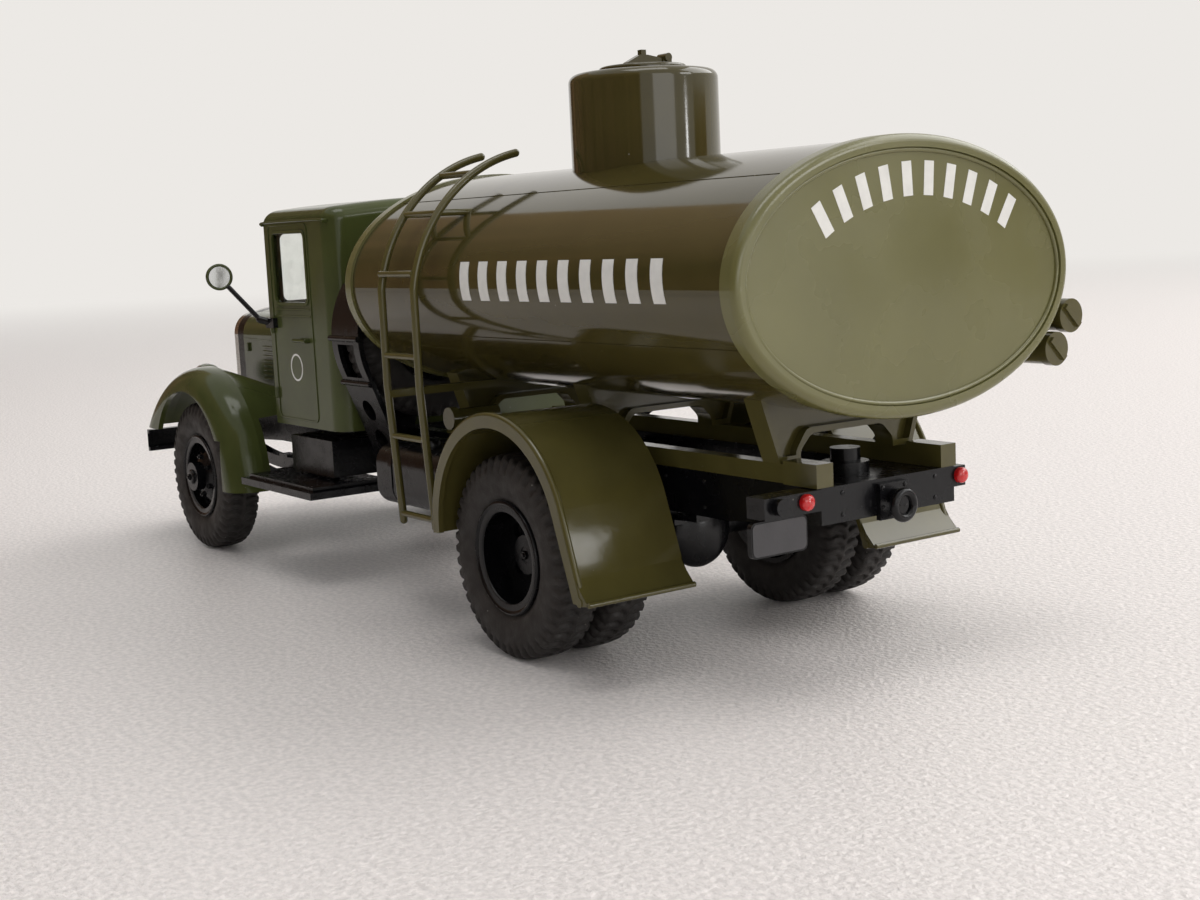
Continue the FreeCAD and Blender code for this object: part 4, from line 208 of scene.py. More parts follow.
def repeat(shape, spots):
    """The shape once at each spot: its points are added to every spot."""
    points, quads, fans = shape
    spots = np.atleast_2d(np.asarray(spots, float))
    steps = (np.arange(len(spots)) * len(points))[:, None, None]
    return ((spots[:, None] + points[None]).reshape(-1, 3),
            (quads[None] + steps).reshape(-1, 4), (fans[None] + steps).reshape(-1, 3))


def across(axis):
    """An axis's direction and two more at right angles to it and to each other, of length one."""
    axis = np.asarray(axis, float) / np.linalg.norm(axis)
    first = np.cross(axis, Z if abs(axis[2]) < 0.9 else X)
    first /= np.linalg.norm(first)
    return axis, first, np.cross(axis, first)


def lathe(profile, centre, axis, steps=48, closed=False):
    """A profile of (place along the axis, radius) turned round the axis a.

    Each point is centre + place a + radius (u cos t + v sin t).
    """
    axis, first, second = across(axis)
    profile = np.asarray(profile, float)
    angle = full_turn(steps)
    spoke = np.cos(angle)[:, None] * first + np.sin(angle)[:, None] * second
    along, radius = profile[:, 0, None, None], profile[:, 1, None, None]
    return loft(np.asarray(centre) + along * axis + radius * spoke, closed)


def rod(start, end, radius, steps=16):
    """A round bar between two points, its ends chamfered by a fifth of the radius."""
    start, end = np.asarray(start, float), np.asarray(end, float)
    length = np.linalg.norm(end - start)
    cut = 0.2 * radius
    profile = [(0, radius - cut), (cut, radius), (length - cut, radius), (length, radius - cut)]
    return lathe(profile, start, end - start, steps)


def smooth_line(knots, count):
    """A Catmull-Rom line: cubic spans whose end slopes are half the chord between neighbours."""
    knots = np.asarray(knots, float)
    padded = np.vstack([2 * knots[0] - knots[1], knots, 2 * knots[-1] - knots[-2]])
    place = np.linspace(0, len(knots) - 1, count)
    span = np.minimum(place.astype(int), len(knots) - 2)
    t = (place - span)[:, None]
    a, b, c, d = (padded[span + step] for step in range(4))
    return b + 0.5 * t * (c - a + t * (2 * a - 5 * b + 4 * c - d + t * (3 * (b - c) + d - a)))


def carry(path, side, out, section, closed=False):
    """A flat section of points (a, b) carried along a path: each lies at path + a side + b out."""
    path, section = np.asarray(path, float)[:, None], np.asarray(section, float)[None]
    side, out = (np.broadcast_to(way, (len(path), 3))[:, None] for way in (side, out))
    return loft(path + section[..., :1] * side + section[..., 1:] * out, closed)


def bar_section(width, height):
    """A bar's section, its two upper edges chamfered; it reaches as far in as it stands out."""
    half, cut = width / 2, 0.25 * height
    return [(-half, -height), (half, -height), (half, height - cut), (half - cut, height),
            (cut - half, height), (-half, height - cut)]


def rounded_loop(low, high, radius):
    """A rectangle's outline in a plane with corners of a quarter circle each."""
    quarter = np.linspace(0, np.pi / 2, 6)
    hubs = [(high[0] - radius, high[1] - radius, 0), (low[0] + radius, high[1] - radius, 1),
            (low[0] + radius, low[1] + radius, 2), (high[0] - radius, low[1] + radius, 3)]
    return np.vstack([(x, y) + radius * spin(quarter + turn * np.pi / 2) for x, y, turn in hubs])


def frame_loop(loop, plane, width, height):
    """A raised frame along a closed outline, in a plane of (origin, first, second, outward)."""
    origin, first, second, out = plane
    path = origin + loop[:, :1] * first + loop[:, 1:] * second
    ahead = units(np.roll(path, -1, axis=0) - np.roll(path, 1, axis=0))
    return carry(path, np.cross(ahead, out), out, bar_section(width, height), closed=True)


def nut(radius, height, axis, centre=(0, 0, 0)):
    """A hexagon nut with a chamfered face and the end of its stud."""
    profile = [(-0.1 * MM, radius), (height * 0.8, radius), (height, radius * 0.85)]
    stud = [(0, radius * 0.5), (height * 1.35, radius * 0.5), (height * 1.5, radius * 0.4)]
    return join([lathe(profile, centre, axis, 6), lathe(stud, centre, axis, 8)])


def dome_head(radius, height, axis, centre=(0, 0, 0), steps=10, rows=4):
    """A rivet's or lens's domed head: radius cos t across and height sin t out."""
    angle = np.linspace(0, 0.47 * np.pi, rows)
    profile = [(-0.1 * MM, radius)] + list(zip(height * np.sin(angle), radius * np.cos(angle)))
    return lathe(profile, centre, axis, steps)


def block(low, high):
    """A box between two corners; its edges along z are chamfered by 0.12 of its thinner side."""
    low, high = np.asarray(low, float), np.asarray(high, float)
    cut = 0.12 * min(high[:2] - low[:2])
    x, y = (low[0], high[0]), (low[1], high[1])
    loop = np.array([
        (x[0] + cut, y[0]), (x[1] - cut, y[0]), (x[1], y[0] + cut), (x[1], y[1] - cut),
        (x[1] - cut, y[1]), (x[0] + cut, y[1]), (x[0], y[1] - cut), (x[0], y[0] + cut)])
    return loft([points_at(*loop.T, height) for height in (low[2], high[2])])


def circle(radius, steps=12):
    """A round section."""
    return radius * spin(full_turn(steps))


def rib(path, out, width, height):
    """A raised line along a path: a bar's section whose foot lies across path and outward."""
    ahead = units(np.gradient(path, axis=0))
    return carry(path, np.cross(ahead, out), out, bar_section(width, height))


def span_of(node):
    """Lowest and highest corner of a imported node."""
    low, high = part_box(node)
    return np.array(low), np.array(high)


def round_node(node):
    """A node's lowest and highest corner, half its height, and the height of its middle."""
    low, high = span_of(node)
    return low, high, (high[2] - low[2]) / 2, (low[2] + high[2]) / 2


def rear_axle_place():
    """Where the rear axle is along the truck."""
    low, high = span_of("tyres_rear_left")
    return (low[0] + high[0]) / 2


def show(item):
    """Put an object into the scene."""
    bpy.context.scene.collection.objects.link(item)


def add_piece(name, shape, finish, body=TRUCK, stands_for=(), crease=35):
    """Put a shape into the scene as one piece with its finish, riding on a body."""
    points, quads, fans = shape
    mesh = bpy.data.meshes.new(name)
    mesh.from_pydata(points.tolist(), [], quads.tolist() + fans.tolist())
    mesh.shade_smooth()
    mesh.set_sharp_from_angle(angle=math.radians(crease))
    piece = bpy.data.objects.new(name, mesh)
    show(piece)
    mesh.materials.append(finish_of(finish))
    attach(piece, body)
    if stands_for:
        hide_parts(*stands_for)


# Finishes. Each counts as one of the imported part's, which is mostly the one of the same name.
SLOTS = {name: name for name in (
    "tank_olive", "cap_olive", "satin_olive", "cab_green", "chassis_black", "tyre", "clear_pane",
    "lamp_glass", "mirror_glass", "red_lens", "cab_inside", "bright_metal")}
SLOTS |= {"white_mark": "tank_olive", "blank_plate": "chassis_black"}
# For each finish: colour name, roughness, metallic, shine, coat, share of colour that varies, size
# of that variation, height and size of its grain, and share of dust. Sizes are in millimetres.
FINISHES = {
    "tank_olive": ("tank", 0.10, 0.0, 0.45, 0.15, 0.10, 9.0, 0.004, 1.6, 0.5),
    "cap_olive": ("cap", 0.27, 0.0, 0.5, 0.15, 0.08, 14.0, 0.005, 2.0, 0.4),
    "satin_olive": ("satin", 0.15, 0.0, 0.42, 0.10, 0.10, 6.0, 0.01, 0.9, 0.3),
    "cab_green": ("cab", 0.16, 0.0, 0.28, 0.04, 0.14, 8.0, 0.008, 1.2, 0.3),
    "chassis_black": ("chassis", 0.24, 0.0, 0.28, 0.0, 0.20, 4.0, 0.018, 0.7, 0.25),
    "tyre": ("tyre", 0.62, 0.0, 0.4, 0.0, 0.22, 3.0, 0.05, 0.25, 0.4),
    "cab_inside": ("inside", 0.60, 0.0, 0.5, 0.0, 0.15, 4.0, 0.04, 0.4, 0.0),
    "bright_metal": ("metal", 0.22, 1.0, 0.5, 0.0, 0.10, 3.0, 0.008, 0.4, 0.0),
    "red_lens": ("lens", 0.12, 0.0, 0.5, 0.4, 0.12, 1.0, 0.01, 0.3, 0.0),
    "blank_plate": ("plate", 0.40, 0.0, 0.5, 0.0, 0.10, 3.0, 0.014, 0.5, 0.3),
    "white_mark": ("mark", 0.40, 0.0, 0.5, 0.0, 0.05, 1.5, 0.02, 0.3, 0.0),
}


def finish_of(name):
    """The named finish, made the first time that it is asked for."""
    label = "finish_" + name
    if label in bpy.data.materials:
        return bpy.data.materials[label]
    if name in FINISHES:
        return paint_finish(label, *FINISHES[name])
    return glass_finish(label, name)


def node_of(nodes, kind):
    """The first node of a kind."""
    return next(node for node in nodes if node.type == kind)


def preset(node, values):
    """Give a node's inputs their fixed values."""
    for label, value in values.items():
        node.inputs[label].default_value = value


def new_material(label):
    """A new node material with its nodes, links, shader and object coordinates."""
    material = bpy.data.materials.new(label)
    material.use_nodes = True
    nodes, links = material.node_tree.nodes, material.node_tree.links
    coordinates = nodes.new("ShaderNodeTexCoord")
    return material, nodes, links, node_of(nodes, "BSDF_PRINCIPLED"), coordinates.outputs["Object"]


def noise(nodes, links, place, size, detail=2.0):
    """Noise whose blotches are about the given size in millimetres."""
    node = nodes.new("ShaderNodeTexNoise")
    preset(node, {"Scale": 1 / (size * MM), "Detail": detail})
    links.new(place, node.inputs["Vector"])
    return node.outputs["Fac"]


def ranged(nodes, links, value, low, high, new_low, new_high):
    """A value carried smoothly from one range to another."""
    node = nodes.new("ShaderNodeMapRange")
    node.interpolation_type = "SMOOTHSTEP"
    preset(node, {"From Min": low, "From Max": high, "To Min": new_low, "To Max": new_high})
    links.new(value, node.inputs["Value"])
    return node.outputs["Result"]


def ramp(nodes, links, value, stops):
    """A colour ramp over a value, from stops of place and colour."""
    node = nodes.new("ShaderNodeValToRGB")
    elements = node.color_ramp.elements
    elements[0].position, elements[1].position = stops[0][0], stops[-1][0]
    elements[0].color, elements[1].color = (*stops[0][1], 1), (*stops[-1][1], 1)
    links.new(value, node.inputs["Fac"])
    return node.outputs["Color"]


def mixed(nodes, links, share, base, colour):
    """A colour laid over another by a share that varies."""
    node = nodes.new("ShaderNodeMix")
    node.data_type = "RGBA"
    node.inputs["B"].default_value = (*colour, 1)
    links.new(share, node.inputs["Factor"])
    links.new(base, node.inputs["A"])
    return node.outputs["Result"]


def bumped(nodes, links, height, rise, shader):
    """The surface raised and lowered by a height, up to a rise in metres."""
    node = nodes.new("ShaderNodeBump")
    preset(node, {"Strength": 1.0, "Distance": rise})
    links.new(height, node.inputs["Height"])
    links.new(node.outputs["Normal"], shader.inputs["Normal"])


def dust_specks(nodes, links, place, share):
    """How much dust lies at a place: small dots, one to a cell, where a broad noise lets them."""
    cells = nodes.new("ShaderNodeTexVoronoi")
    cells.inputs["Scale"].default_value = 1 / (1.7 * MM)
    links.new(place, cells.inputs["Vector"])
    dots = ranged(nodes, links, cells.outputs["Distance"], 0.035, 0.075, 1.0, 0.0)
    gate = ranged(nodes, links, noise(nodes, links, place, 2.4), 0.60, 0.66, 0.0, share)
    product = nodes.new("ShaderNodeMath")
    product.operation = "MULTIPLY"
    links.new(dots, product.inputs[0])
    links.new(gate, product.inputs[1])
    return product.outputs["Value"]


def paint_finish(label, colour_name, roughness, metallic, shine, coat,
                 vary, vary_size, grain, grain_size, dust):
    """Paint, plastic or metal: drifting colour and roughness, a fine grain, and specks of dust."""
    material, nodes, links, shader, place = new_material(label)
    colour = np.array(getattr(bpy.context.scene.tanker_colours, colour_name))
    drift = noise(nodes, links, place, vary_size, 4.0)
    shades = [(0.3, tuple(colour * (1 - vary))), (0.7, tuple(np.minimum(colour * (1 + vary), 1)))]
    base = ramp(nodes, links, drift, shades)
    if dust:
        specks = dust_specks(nodes, links, place, dust)
        base = mixed(nodes, links, specks, base, tint(190, 186, 176))
    links.new(base, shader.inputs["Base Color"])
    wear = noise(nodes, links, place, vary_size * 0.6, 3.0)
    worn = ranged(nodes, links, wear, 0.25, 0.75, roughness * 0.8, roughness * 1.25)
    links.new(worn, shader.inputs["Roughness"])
    preset(shader, {"Metallic": metallic, "Specular IOR Level": shine,
                    "Coat Weight": coat, "Coat Roughness": 0.06})
    bumped(nodes, links, noise(nodes, links, place, grain_size, 3.0), grain * MM, shader)
    return material


def glass_finish(label, name):
    """Clear panes, lamp glass and mirrors: each with a faint haze that drifts over it."""
    material, nodes, links, shader, place = new_material(label)
    haze = noise(nodes, links, place, 3.0, 3.0)
    mirror = name == "mirror_glass"
    dull, pale, smooth, rough = (238, 240, 238), (250, 252, 250), 0.01, 0.05
    if mirror:
        dull, pale, smooth, rough = (206, 208, 208), (226, 228, 228), 0.04, 0.1
    colour = ramp(nodes, links, haze, [(0.3, tint(*dull)), (0.7, tint(*pale))])
    links.new(colour, shader.inputs["Base Color"])
    links.new(ranged(nodes, links, haze, 0.3, 0.7, smooth, rough), shader.inputs["Roughness"])
    if mirror:
        shader.inputs["Metallic"].default_value = 1.0
        return material
    preset(shader, {"Transmission Weight": 1.0, "IOR": 1.45 if name == "lamp_glass" else 1.2})
    if name == "lamp_glass":
        flutes = nodes.new("ShaderNodeTexWave")
        flutes.bands_direction = "Y"
        flutes.inputs["Scale"].default_value = 1 / (6.3 * MM)
        links.new(place, flutes.inputs["Vector"])
        bumped(nodes, links, flutes.outputs["Fac"], 0.05 * MM, shader)
    return material


def floor_finish():
    """A pale foamed sheet: fine mottling and grain, fading far off into the backdrop's colour."""
    material, nodes, links, shader, place = new_material("stage_sheet")
    colour = np.array(bpy.context.scene.tanker_colours.floor)
    mottle = ramp(nodes, links, noise(nodes, links, place, 0.8, 4.0),
                  [(0.36, tuple(colour * 0.9)), (0.66, tuple(np.minimum(colour * 1.12, 1)))])
    links.new(mottle, shader.inputs["Base Color"])
    shader.inputs["Roughness"].default_value = 0.45
    bumped(nodes, links, noise(nodes, links, place, 0.7, 3.0), 0.22 * MM, shader)
    reach = nodes.new("ShaderNodeVectorMath")
    reach.operation = "LENGTH"
    links.new(place, reach.inputs[0])
    far = ranged(nodes, links, reach.outputs["Value"], 0.35, 1.6, 0.0, 1.0)
    glow = nodes.new("ShaderNodeEmission")
    glow.inputs["Color"].default_value = (*tint(236, 233, 229), 1)
    blend = nodes.new("ShaderNodeMixShader")
    links.new(far, blend.inputs["Fac"])
    links.new(shader.outputs["BSDF"], blend.inputs[1])
    links.new(glow.outputs["Emission"], blend.inputs[2])
    links.new(blend.outputs["Shader"], node_of(nodes, "OUTPUT_MATERIAL").inputs["Surface"])
    return material


def card_finish(name):
    """A dim brown side of the room, seen by shiny paint: upright streaks, paler towards the top."""
    material, nodes, links, shader, place = new_material(name)
    flat = nodes.new("ShaderNodeMapping")
    flat.inputs["Scale"].default_value = (1, 1, 0.12)
    links.new(place, flat.inputs["Vector"])
    streaks = noise(nodes, links, flat.outputs["Vector"], 90.0, 3.0)
    parts = nodes.new("ShaderNodeSeparateXYZ")
    links.new(place, parts.inputs["Vector"])
    climb = ranged(nodes, links, parts.outputs["Z"], 0.25, 0.95, 0.0, 1.0)
    low = ramp(nodes, links, streaks, [(0.35, tint(48, 29, 18)), (0.7, tint(136, 100, 72))])
    tones = mixed(nodes, links, climb, low, tint(180, 150, 116))
    links.new(tones, shader.inputs["Emission Color"])
    preset(shader, {"Emission Strength": 1.0, "Base Color": (0, 0, 0, 1), "Roughness": 1.0})
    return material


# Pieces. For a tyre: its section's points and the rings for each lug; a groove's bow and lean, in
# radians of its phase; the tread, the middle rib and the rib's edge as shares of the half width;
# and how far down its side a groove reaches and over what height it fades.
SECTION_POINTS, RINGS_PER_LUG = 58, 9
GROOVE_BOW, GROOVE_LEAN = 2.6, 1.2
TREAD, RIB, RIB_EDGE = 0.86, 0.07, 0.06
GROOVE_REACH, GROOVE_FADE = mm(1.9, 0.6)


def tyre_shape(centre, width, radius, bead, count, depth):
    """A tyre with two rows of bowed lugs.

    Its section is a smooth line through beads, sides, shoulders and tread, turned about the axle.
    A groove's phase is count times the turn, plus a bow that grows and falls across each row;
    where the phase's cosine is high the section moves in along its own normal by the depth.
    """
    half = width / 2
    flank = half * np.array([0.785, 0.91, 0.99, 0.99, 0.94, 0.86, 0.72, 0.45, 0.15])
    rise = np.append(bead + mm(0, 0.7, 2.1), radius - mm(2.5, 1.2, 0.6, 0.2, 0.04, 0))
    knots = np.stack([np.append(-flank, flank[::-1]), np.append(rise, rise[::-1])], -1)
    line = smooth_line(knots, SECTION_POINTS)
    slope = np.gradient(line, axis=0)
    normal = units(np.stack([-slope[:, 1], slope[:, 0]], -1))
    place, height = line[:, 0], line[:, 1]
    turn = full_turn(count * RINGS_PER_LUG)[:, None]
    share = np.abs(place) / half
    arch = 1 - (2 * np.clip(share / TREAD, 0, 1) - 1) ** 2
    bow = GROOVE_BOW * arch + GROOVE_LEAN * share
    phase = count * turn + bow + np.where(place > 0, np.pi, 0)
    cut = np.clip((np.cos(phase) + 0.05) / 0.5, 0, 1)
    cut = cut * cut * (3 - 2 * cut)
    ease = np.clip((height - (radius - GROOVE_REACH)) / GROOVE_FADE, 0, 1)
    spine = np.clip((share - RIB) / RIB_EDGE, 0, 1)
    sink = cut * ease * spine * depth
    place = place - normal[:, 0] * sink
    height = height - normal[:, 1] * sink
    rings = points_at(centre[0] + height * np.cos(turn), centre[1] + place,
                      centre[2] + height * np.sin(turn))
    return loft(rings, closed=True)


def wheel_centres(node, twins):
    """The middles of the tyres in a node, from its box."""
    low, high = span_of(node)
    middle = (low + high) / 2
    if not twins:
        return [middle]
    half = tyre_width() / 2
    return [np.array([middle[0], place, middle[2]]) for place in (low[1] + half, high[1] - half)]


def tyre_width():
    """A tyre's width, from the box of the left front one."""
    low, high = span_of("tyre_front_left")
    return high[1] - low[1]


def tyre_radius():
    """A tyre's radius, which is also how high the axles are."""
    return round_node("tyre_front_left")[2]


BEAD = 7.3 * MM


class TANKER_OT_tyres(bpy.types.Operator):
    """Build the tyres with their lugs, twins at the rear, and the spare"""

    bl_idname = "tanker.tyres"
    bl_label = "Tyres"

    def execute(self, context):
        sizes = context.scene.tanker_sizes
        shared = (tyre_width(), tyre_radius(), BEAD, sizes.lug_count, sizes.lug_depth)
        for spot, body in WHEELS.items():
            node = ("tyres_" if "rear" in spot else "tyre_") + spot
            shapes = [tyre_shape(centre, *shared) for centre in wheel_centres(node, "rear" in spot)]
            add_piece("lugged_" + node, join(shapes), "tyre", body, [node], crease=50)
        low, high = span_of("spare_tyre")
        points, quads, fans = tyre_shape(np.zeros(3), *shared)
        turned = points_at(-points[:, 1], points[:, 0], points[:, 2]) + (low + high) / 2
        spare = outward((turned, quads, fans))
        add_piece("lugged_spare_tyre", spare, "tyre", TRUCK, ["spare_tyre"], crease=50)
        return {"FINISHED"}


RIM_EDGE = mm((2.45, 7.28), (2.75, 7.3), (2.98, 7.18), (3.06, 6.98), (3.0, 6.78), (2.86, 6.66),
              (2.84, 6.1), (2.78, 5.86), (2.62, 5.76), (2.46, 5.84), (2.4, 6.1), (2.38, 6.66))
NUT_CIRCLE = 3.35 * MM


class TANKER_OT_wheel_trim(bpy.types.Operator):
    """Build each wheel's lock ring, hub cap and nuts"""

    bl_idname = "tanker.wheel_trim"
    bl_label = "Wheel Rings and Nuts"

    def execute(self, context):
        radius = context.scene.tanker_sizes.nut_radius
        for spot, body in WHEELS.items():
            left = spot.endswith("left")
            rear = "rear" in spot
            node = ("tyres_" if rear else "tyre_") + spot.replace("right", "left")
            centre = wheel_centres(node, rear)[-1]
            disc, dome = mm(-2.0, 1.6) if rear else mm(2.25, 2.1)
            face = centre[1] + disc
            hub = face + dome
            shapes = [lathe(RIM_EDGE, centre, Y, 96, closed=True)]
            angle = full_turn(6) + np.pi / 6
            ring = points_at(centre[0] + NUT_CIRCLE * np.cos(angle), face,
                             centre[2] + NUT_CIRCLE * np.sin(angle))
            shapes.append(repeat(nut(radius, 0.55 * MM, Y), ring))
            cap = mm((-0.5, 1.3), (0.1, 1.3), (0.35, 1.1), (0.42, 0.7))
            shapes.append(lathe(cap, (centre[0], hub, centre[2]), Y, 32))
            shapes.append(nut(radius * 1.3, 0.35 * MM, Y, (centre[0], hub + 0.4 * MM, centre[2])))
            shape = join(shapes) if left else flipped(join(shapes))
            add_piece("wheel_trim_" + spot, shape, "chassis_black", body)
        return {"FINISHED"}


def tank_oval():
    """The tank's half width and half height, its axis height, and its skin's ends."""
    low, high, half_height, middle = round_node("tank_shell")
    return (high[1] - low[1]) / 2, half_height, middle, low[0], high[0]


def on_tank(x, angle, rise):
    """A place on the tank's skin, grown by the rise; the angle climbs from the left side."""
    half_width, half_height, middle, _, _ = tank_oval()
    return points_at(x, (half_width + rise) * np.cos(angle),
                     middle + (half_height + rise) * np.sin(angle))


class TANKER_OT_tank_seams(bpy.types.Operator):
    """Build the long seams of the tank's skin and the bead of its rear cap"""

    bl_idname = "tanker.tank_seams"
    bl_label = "Tank Seams"

    def execute(self, context):
        width = context.scene.tanker_sizes.seam_width
        half_width, _, _, rear, front = tank_oval()
        shapes = []
        for degrees, share in ((-25.0, 1.0), (-2.0, 0.5), (50.4, 0.8)):
            angle = np.radians(degrees)
            spread = share * width / 2 / half_width
            places = np.array([rear, front])
            under, over = -0.1 * MM, 0.07 * MM * share
            loop = [(-spread, under), (spread, under), (spread * 0.8, over), (-spread * 0.8, over)]
            rings = np.stack([on_tank(places, angle + turn, rise) for turn, rise in loop], 1)
            shapes.append(loft(rings))
        add_piece("tank_seams", both_sides(join(shapes)), "tank_olive")
        self.cap_bead()
        return {"FINISHED"}

    def cap_bead(self):
        """A round bead inside the rear rim: a circle carried along the oval (a cos t, b sin t)."""
        low, high, _, middle = round_node("tank_cap_rear")
        half = (high - low)[1:] / 2 - 1.75 * MM
        ring = circle(1, 240)
        path = points_at(low[0] + 0.45 * MM, *(half * ring + (0, middle)).T)
        out = units(points_at(0, *(ring / half).T))
        add_piece("cap_bead", carry(path, out, -X, circle(0.28 * MM), closed=True), "cap_olive")


def side_marks(sizes, first, last, low_angle, high_angle):
    """A row of slanting bars on the tank's side, each a thin skin that follows the oval."""
    starts = np.linspace(first, last - sizes.mark_width, sizes.mark_count)
    climb = np.linspace(0, 1, 12)
    angle = low_angle + climb * (high_angle - low_angle)
    lean = 0.9 * MM * (climb - 0.5)
    under, over = mm(-0.03, 0.07)
    shapes = []
    for start in starts:
        end = start + sizes.mark_width
        loop = [(start, under), (end, under), (end, over), (start, over)]
        shapes.append(loft(np.stack([on_tank(x + lean, angle, rise) for x, rise in loop], 1)))
    return join(shapes)


def cap_marks(sizes):
    """A row of bars on a bow on the rear cap: y = y0 + r sin t, z = z0 + r cos t."""
    low, _, _, middle = round_node("tank_cap_rear")
    radius = 27.4 * MM
    hub = np.array([low[0] + 0.5 * MM, -1.25 * MM, middle + 10.8 * MM - radius])
    half = np.array([0.35 * sizes.mark_width, 0.5 * sizes.mark_height])
    shapes = []
    for turn in np.radians(np.linspace(-31.6, 31.6, sizes.mark_count)):
        up = np.array([0, math.sin(turn), math.cos(turn)])
        along = np.array([0, math.cos(turn), -math.sin(turn)])
        corners = np.array([(-1, -1), (1, -1), (1, 1), (-1, 1)]) * half
        ring = hub + radius * up + corners[:, :1] * along + corners[:, 1:] * up
        shapes.append(loft([ring + X * 0.03 * MM, ring - X * 0.03 * MM]))
    return join(shapes)


class TANKER_OT_tank_marks(bpy.types.Operator):
    """Build the plain white bars on the tank's sides and rear cap"""

    bl_idname = "tanker.tank_marks"
    bl_label = "White Bars"

    def execute(self, context):
        sizes = context.scene.tanker_sizes
        rear_axle = rear_axle_place()
        row = side_marks(sizes, rear_axle - 30.9 * MM, rear_axle + 12.0 * MM,
                         np.radians(-5.6), np.radians(12.8))
        add_piece("side_marks", both_sides(row), "white_mark")
        add_piece("cap_marks", cap_marks(sizes), "white_mark")
        return {"FINISHED"}


class TANKER_OT_cab_trim(bpy.types.Operator):
    """Build the cab's window frames, door lines, drip rails, handles, hinges and bare door rings"""

    bl_idname = "tanker.cab_trim"
    bl_label = "Cab Trim"

    def execute(self, context):
        sizes = context.scene.tanker_sizes
        side = span_of("cab_shell")[1][1]
        rear_axle = rear_axle_place()
        plane = ((rear_axle, side, 0), X, Z, Y)
        thin = sizes.moulding_width
        window = rounded_loop(mm(65.1, 43.4), mm(77.4, 54.9), 1.2 * MM)
        door = rounded_loop(mm(64.3, 24.9), mm(78.6, 56.0), 1.0 * MM)
        frames = [frame_loop(window, plane, 1.7 * thin, 0.22 * MM),
                  frame_loop(door, plane, thin, 0.14 * MM)]
        for height in (42.6, 41.5):
            line = mm((64.6, 0, height), (77.4, 0, height)) + (rear_axle, side, 0)
            frames.append(rib(line, Y, thin, 0.16 * MM))
        rail = mm((57.6, 0, 56.1), (60, 0, 56.5), (79, 0, 56.5), (80.2, 0, 56.0))
        frames.append(rib(smooth_line(rail + (rear_axle, side, 0), 20), Y, 1.2 * thin, 0.45 * MM))
        add_piece("window_frames", both_sides(join(frames)), "cab_green")
        pivot = np.array([rear_axle + 66.0 * MM, side, 37.7 * MM])
        grip = pivot + (0, 0.75 * MM, 0)
        fittings = [rod(pivot - 0.2 * MM * Y, grip, 0.4 * MM),
                    rod(grip - 0.4 * MM * X, grip + 4.2 * MM * X, 0.3 * MM)]
        hinge = np.array([rear_axle + 78.9 * MM, side + 0.15 * MM, 0])
        fittings += [rod(hinge + height * MM * Z, hinge + (height + 1.8) * MM * Z, 0.42 * MM)
                     for height in (28.0, 38.6)]
        add_piece("door_fittings", both_sides(join(fittings)), "cab_green")
        radius = sizes.badge_radius
        section = mm((-0.03, 0), (0.03, 0), (0.03, -0.3), (-0.03, -0.3)) + (0, radius)
        ring = lathe(section, (rear_axle + 71.1 * MM, side, 33.3 * MM), Y, 64, closed=True)
        add_piece("door_rings", both_sides(ring), "white_mark")
        return {"FINISHED"}


class TANKER_OT_hood_trim(bpy.types.Operator):
    """Build the hood's hinge line, side seams, louvres and latches"""

    bl_idname = "tanker.hood_trim"
    bl_label = "Hood Trim"

    def execute(self, context):
        sizes = context.scene.tanker_sizes
        low, high = span_of("hood")
        nose = span_of("grille")[1][1]
        run = high[0] - low[0]

        def on_side(place, height):
            """The hood's side: y = wide + (nose - wide) * share of the way from the cab."""
            share = np.clip((place - low[0]) / run, 0, 1)
            return points_at(place, high[1] + (nose - high[1]) * share, height)

        rear_axle = rear_axle_place()
        heights = np.linspace(28.6, 34.4, sizes.louvre_count) * MM
        slit = rear_axle + np.linspace(97.0, 110.4, 6) * MM
        louvres = [rib(on_side(slit, height), Y, 0.42 * MM, 0.3 * MM) for height in heights]
        seam_line = on_side(np.linspace(low[0] + 0.4 * MM, high[0] - 0.2 * MM, 12), 35.6 * MM)
        seam = rib(seam_line, Y, 0.3 * MM, 0.1 * MM)
        latches = [block(spot - mm(0.35, 0.2, 0.9), spot + mm(0.35, 0.4, 0.7))
                   for spot in on_side(rear_axle + mm(92.5, 118.6), 34.2 * MM)]
        add_piece("hood_louvres", both_sides(join(louvres + [seam] + latches)), "cab_green")
        start = (low[0] + 0.3 * MM, 0, high[2] - 0.06 * MM)
        end = (high[0] - 0.3 * MM, 0, high[2] - 0.7 * MM)
        add_piece("hood_hinge", rod(start, end, 0.3 * MM, 10), "cab_green")
        return {"FINISHED"}


GUARD_RADIUS = 15.3 * MM
GUARD_HUB = mm(-1.3, 15.9)


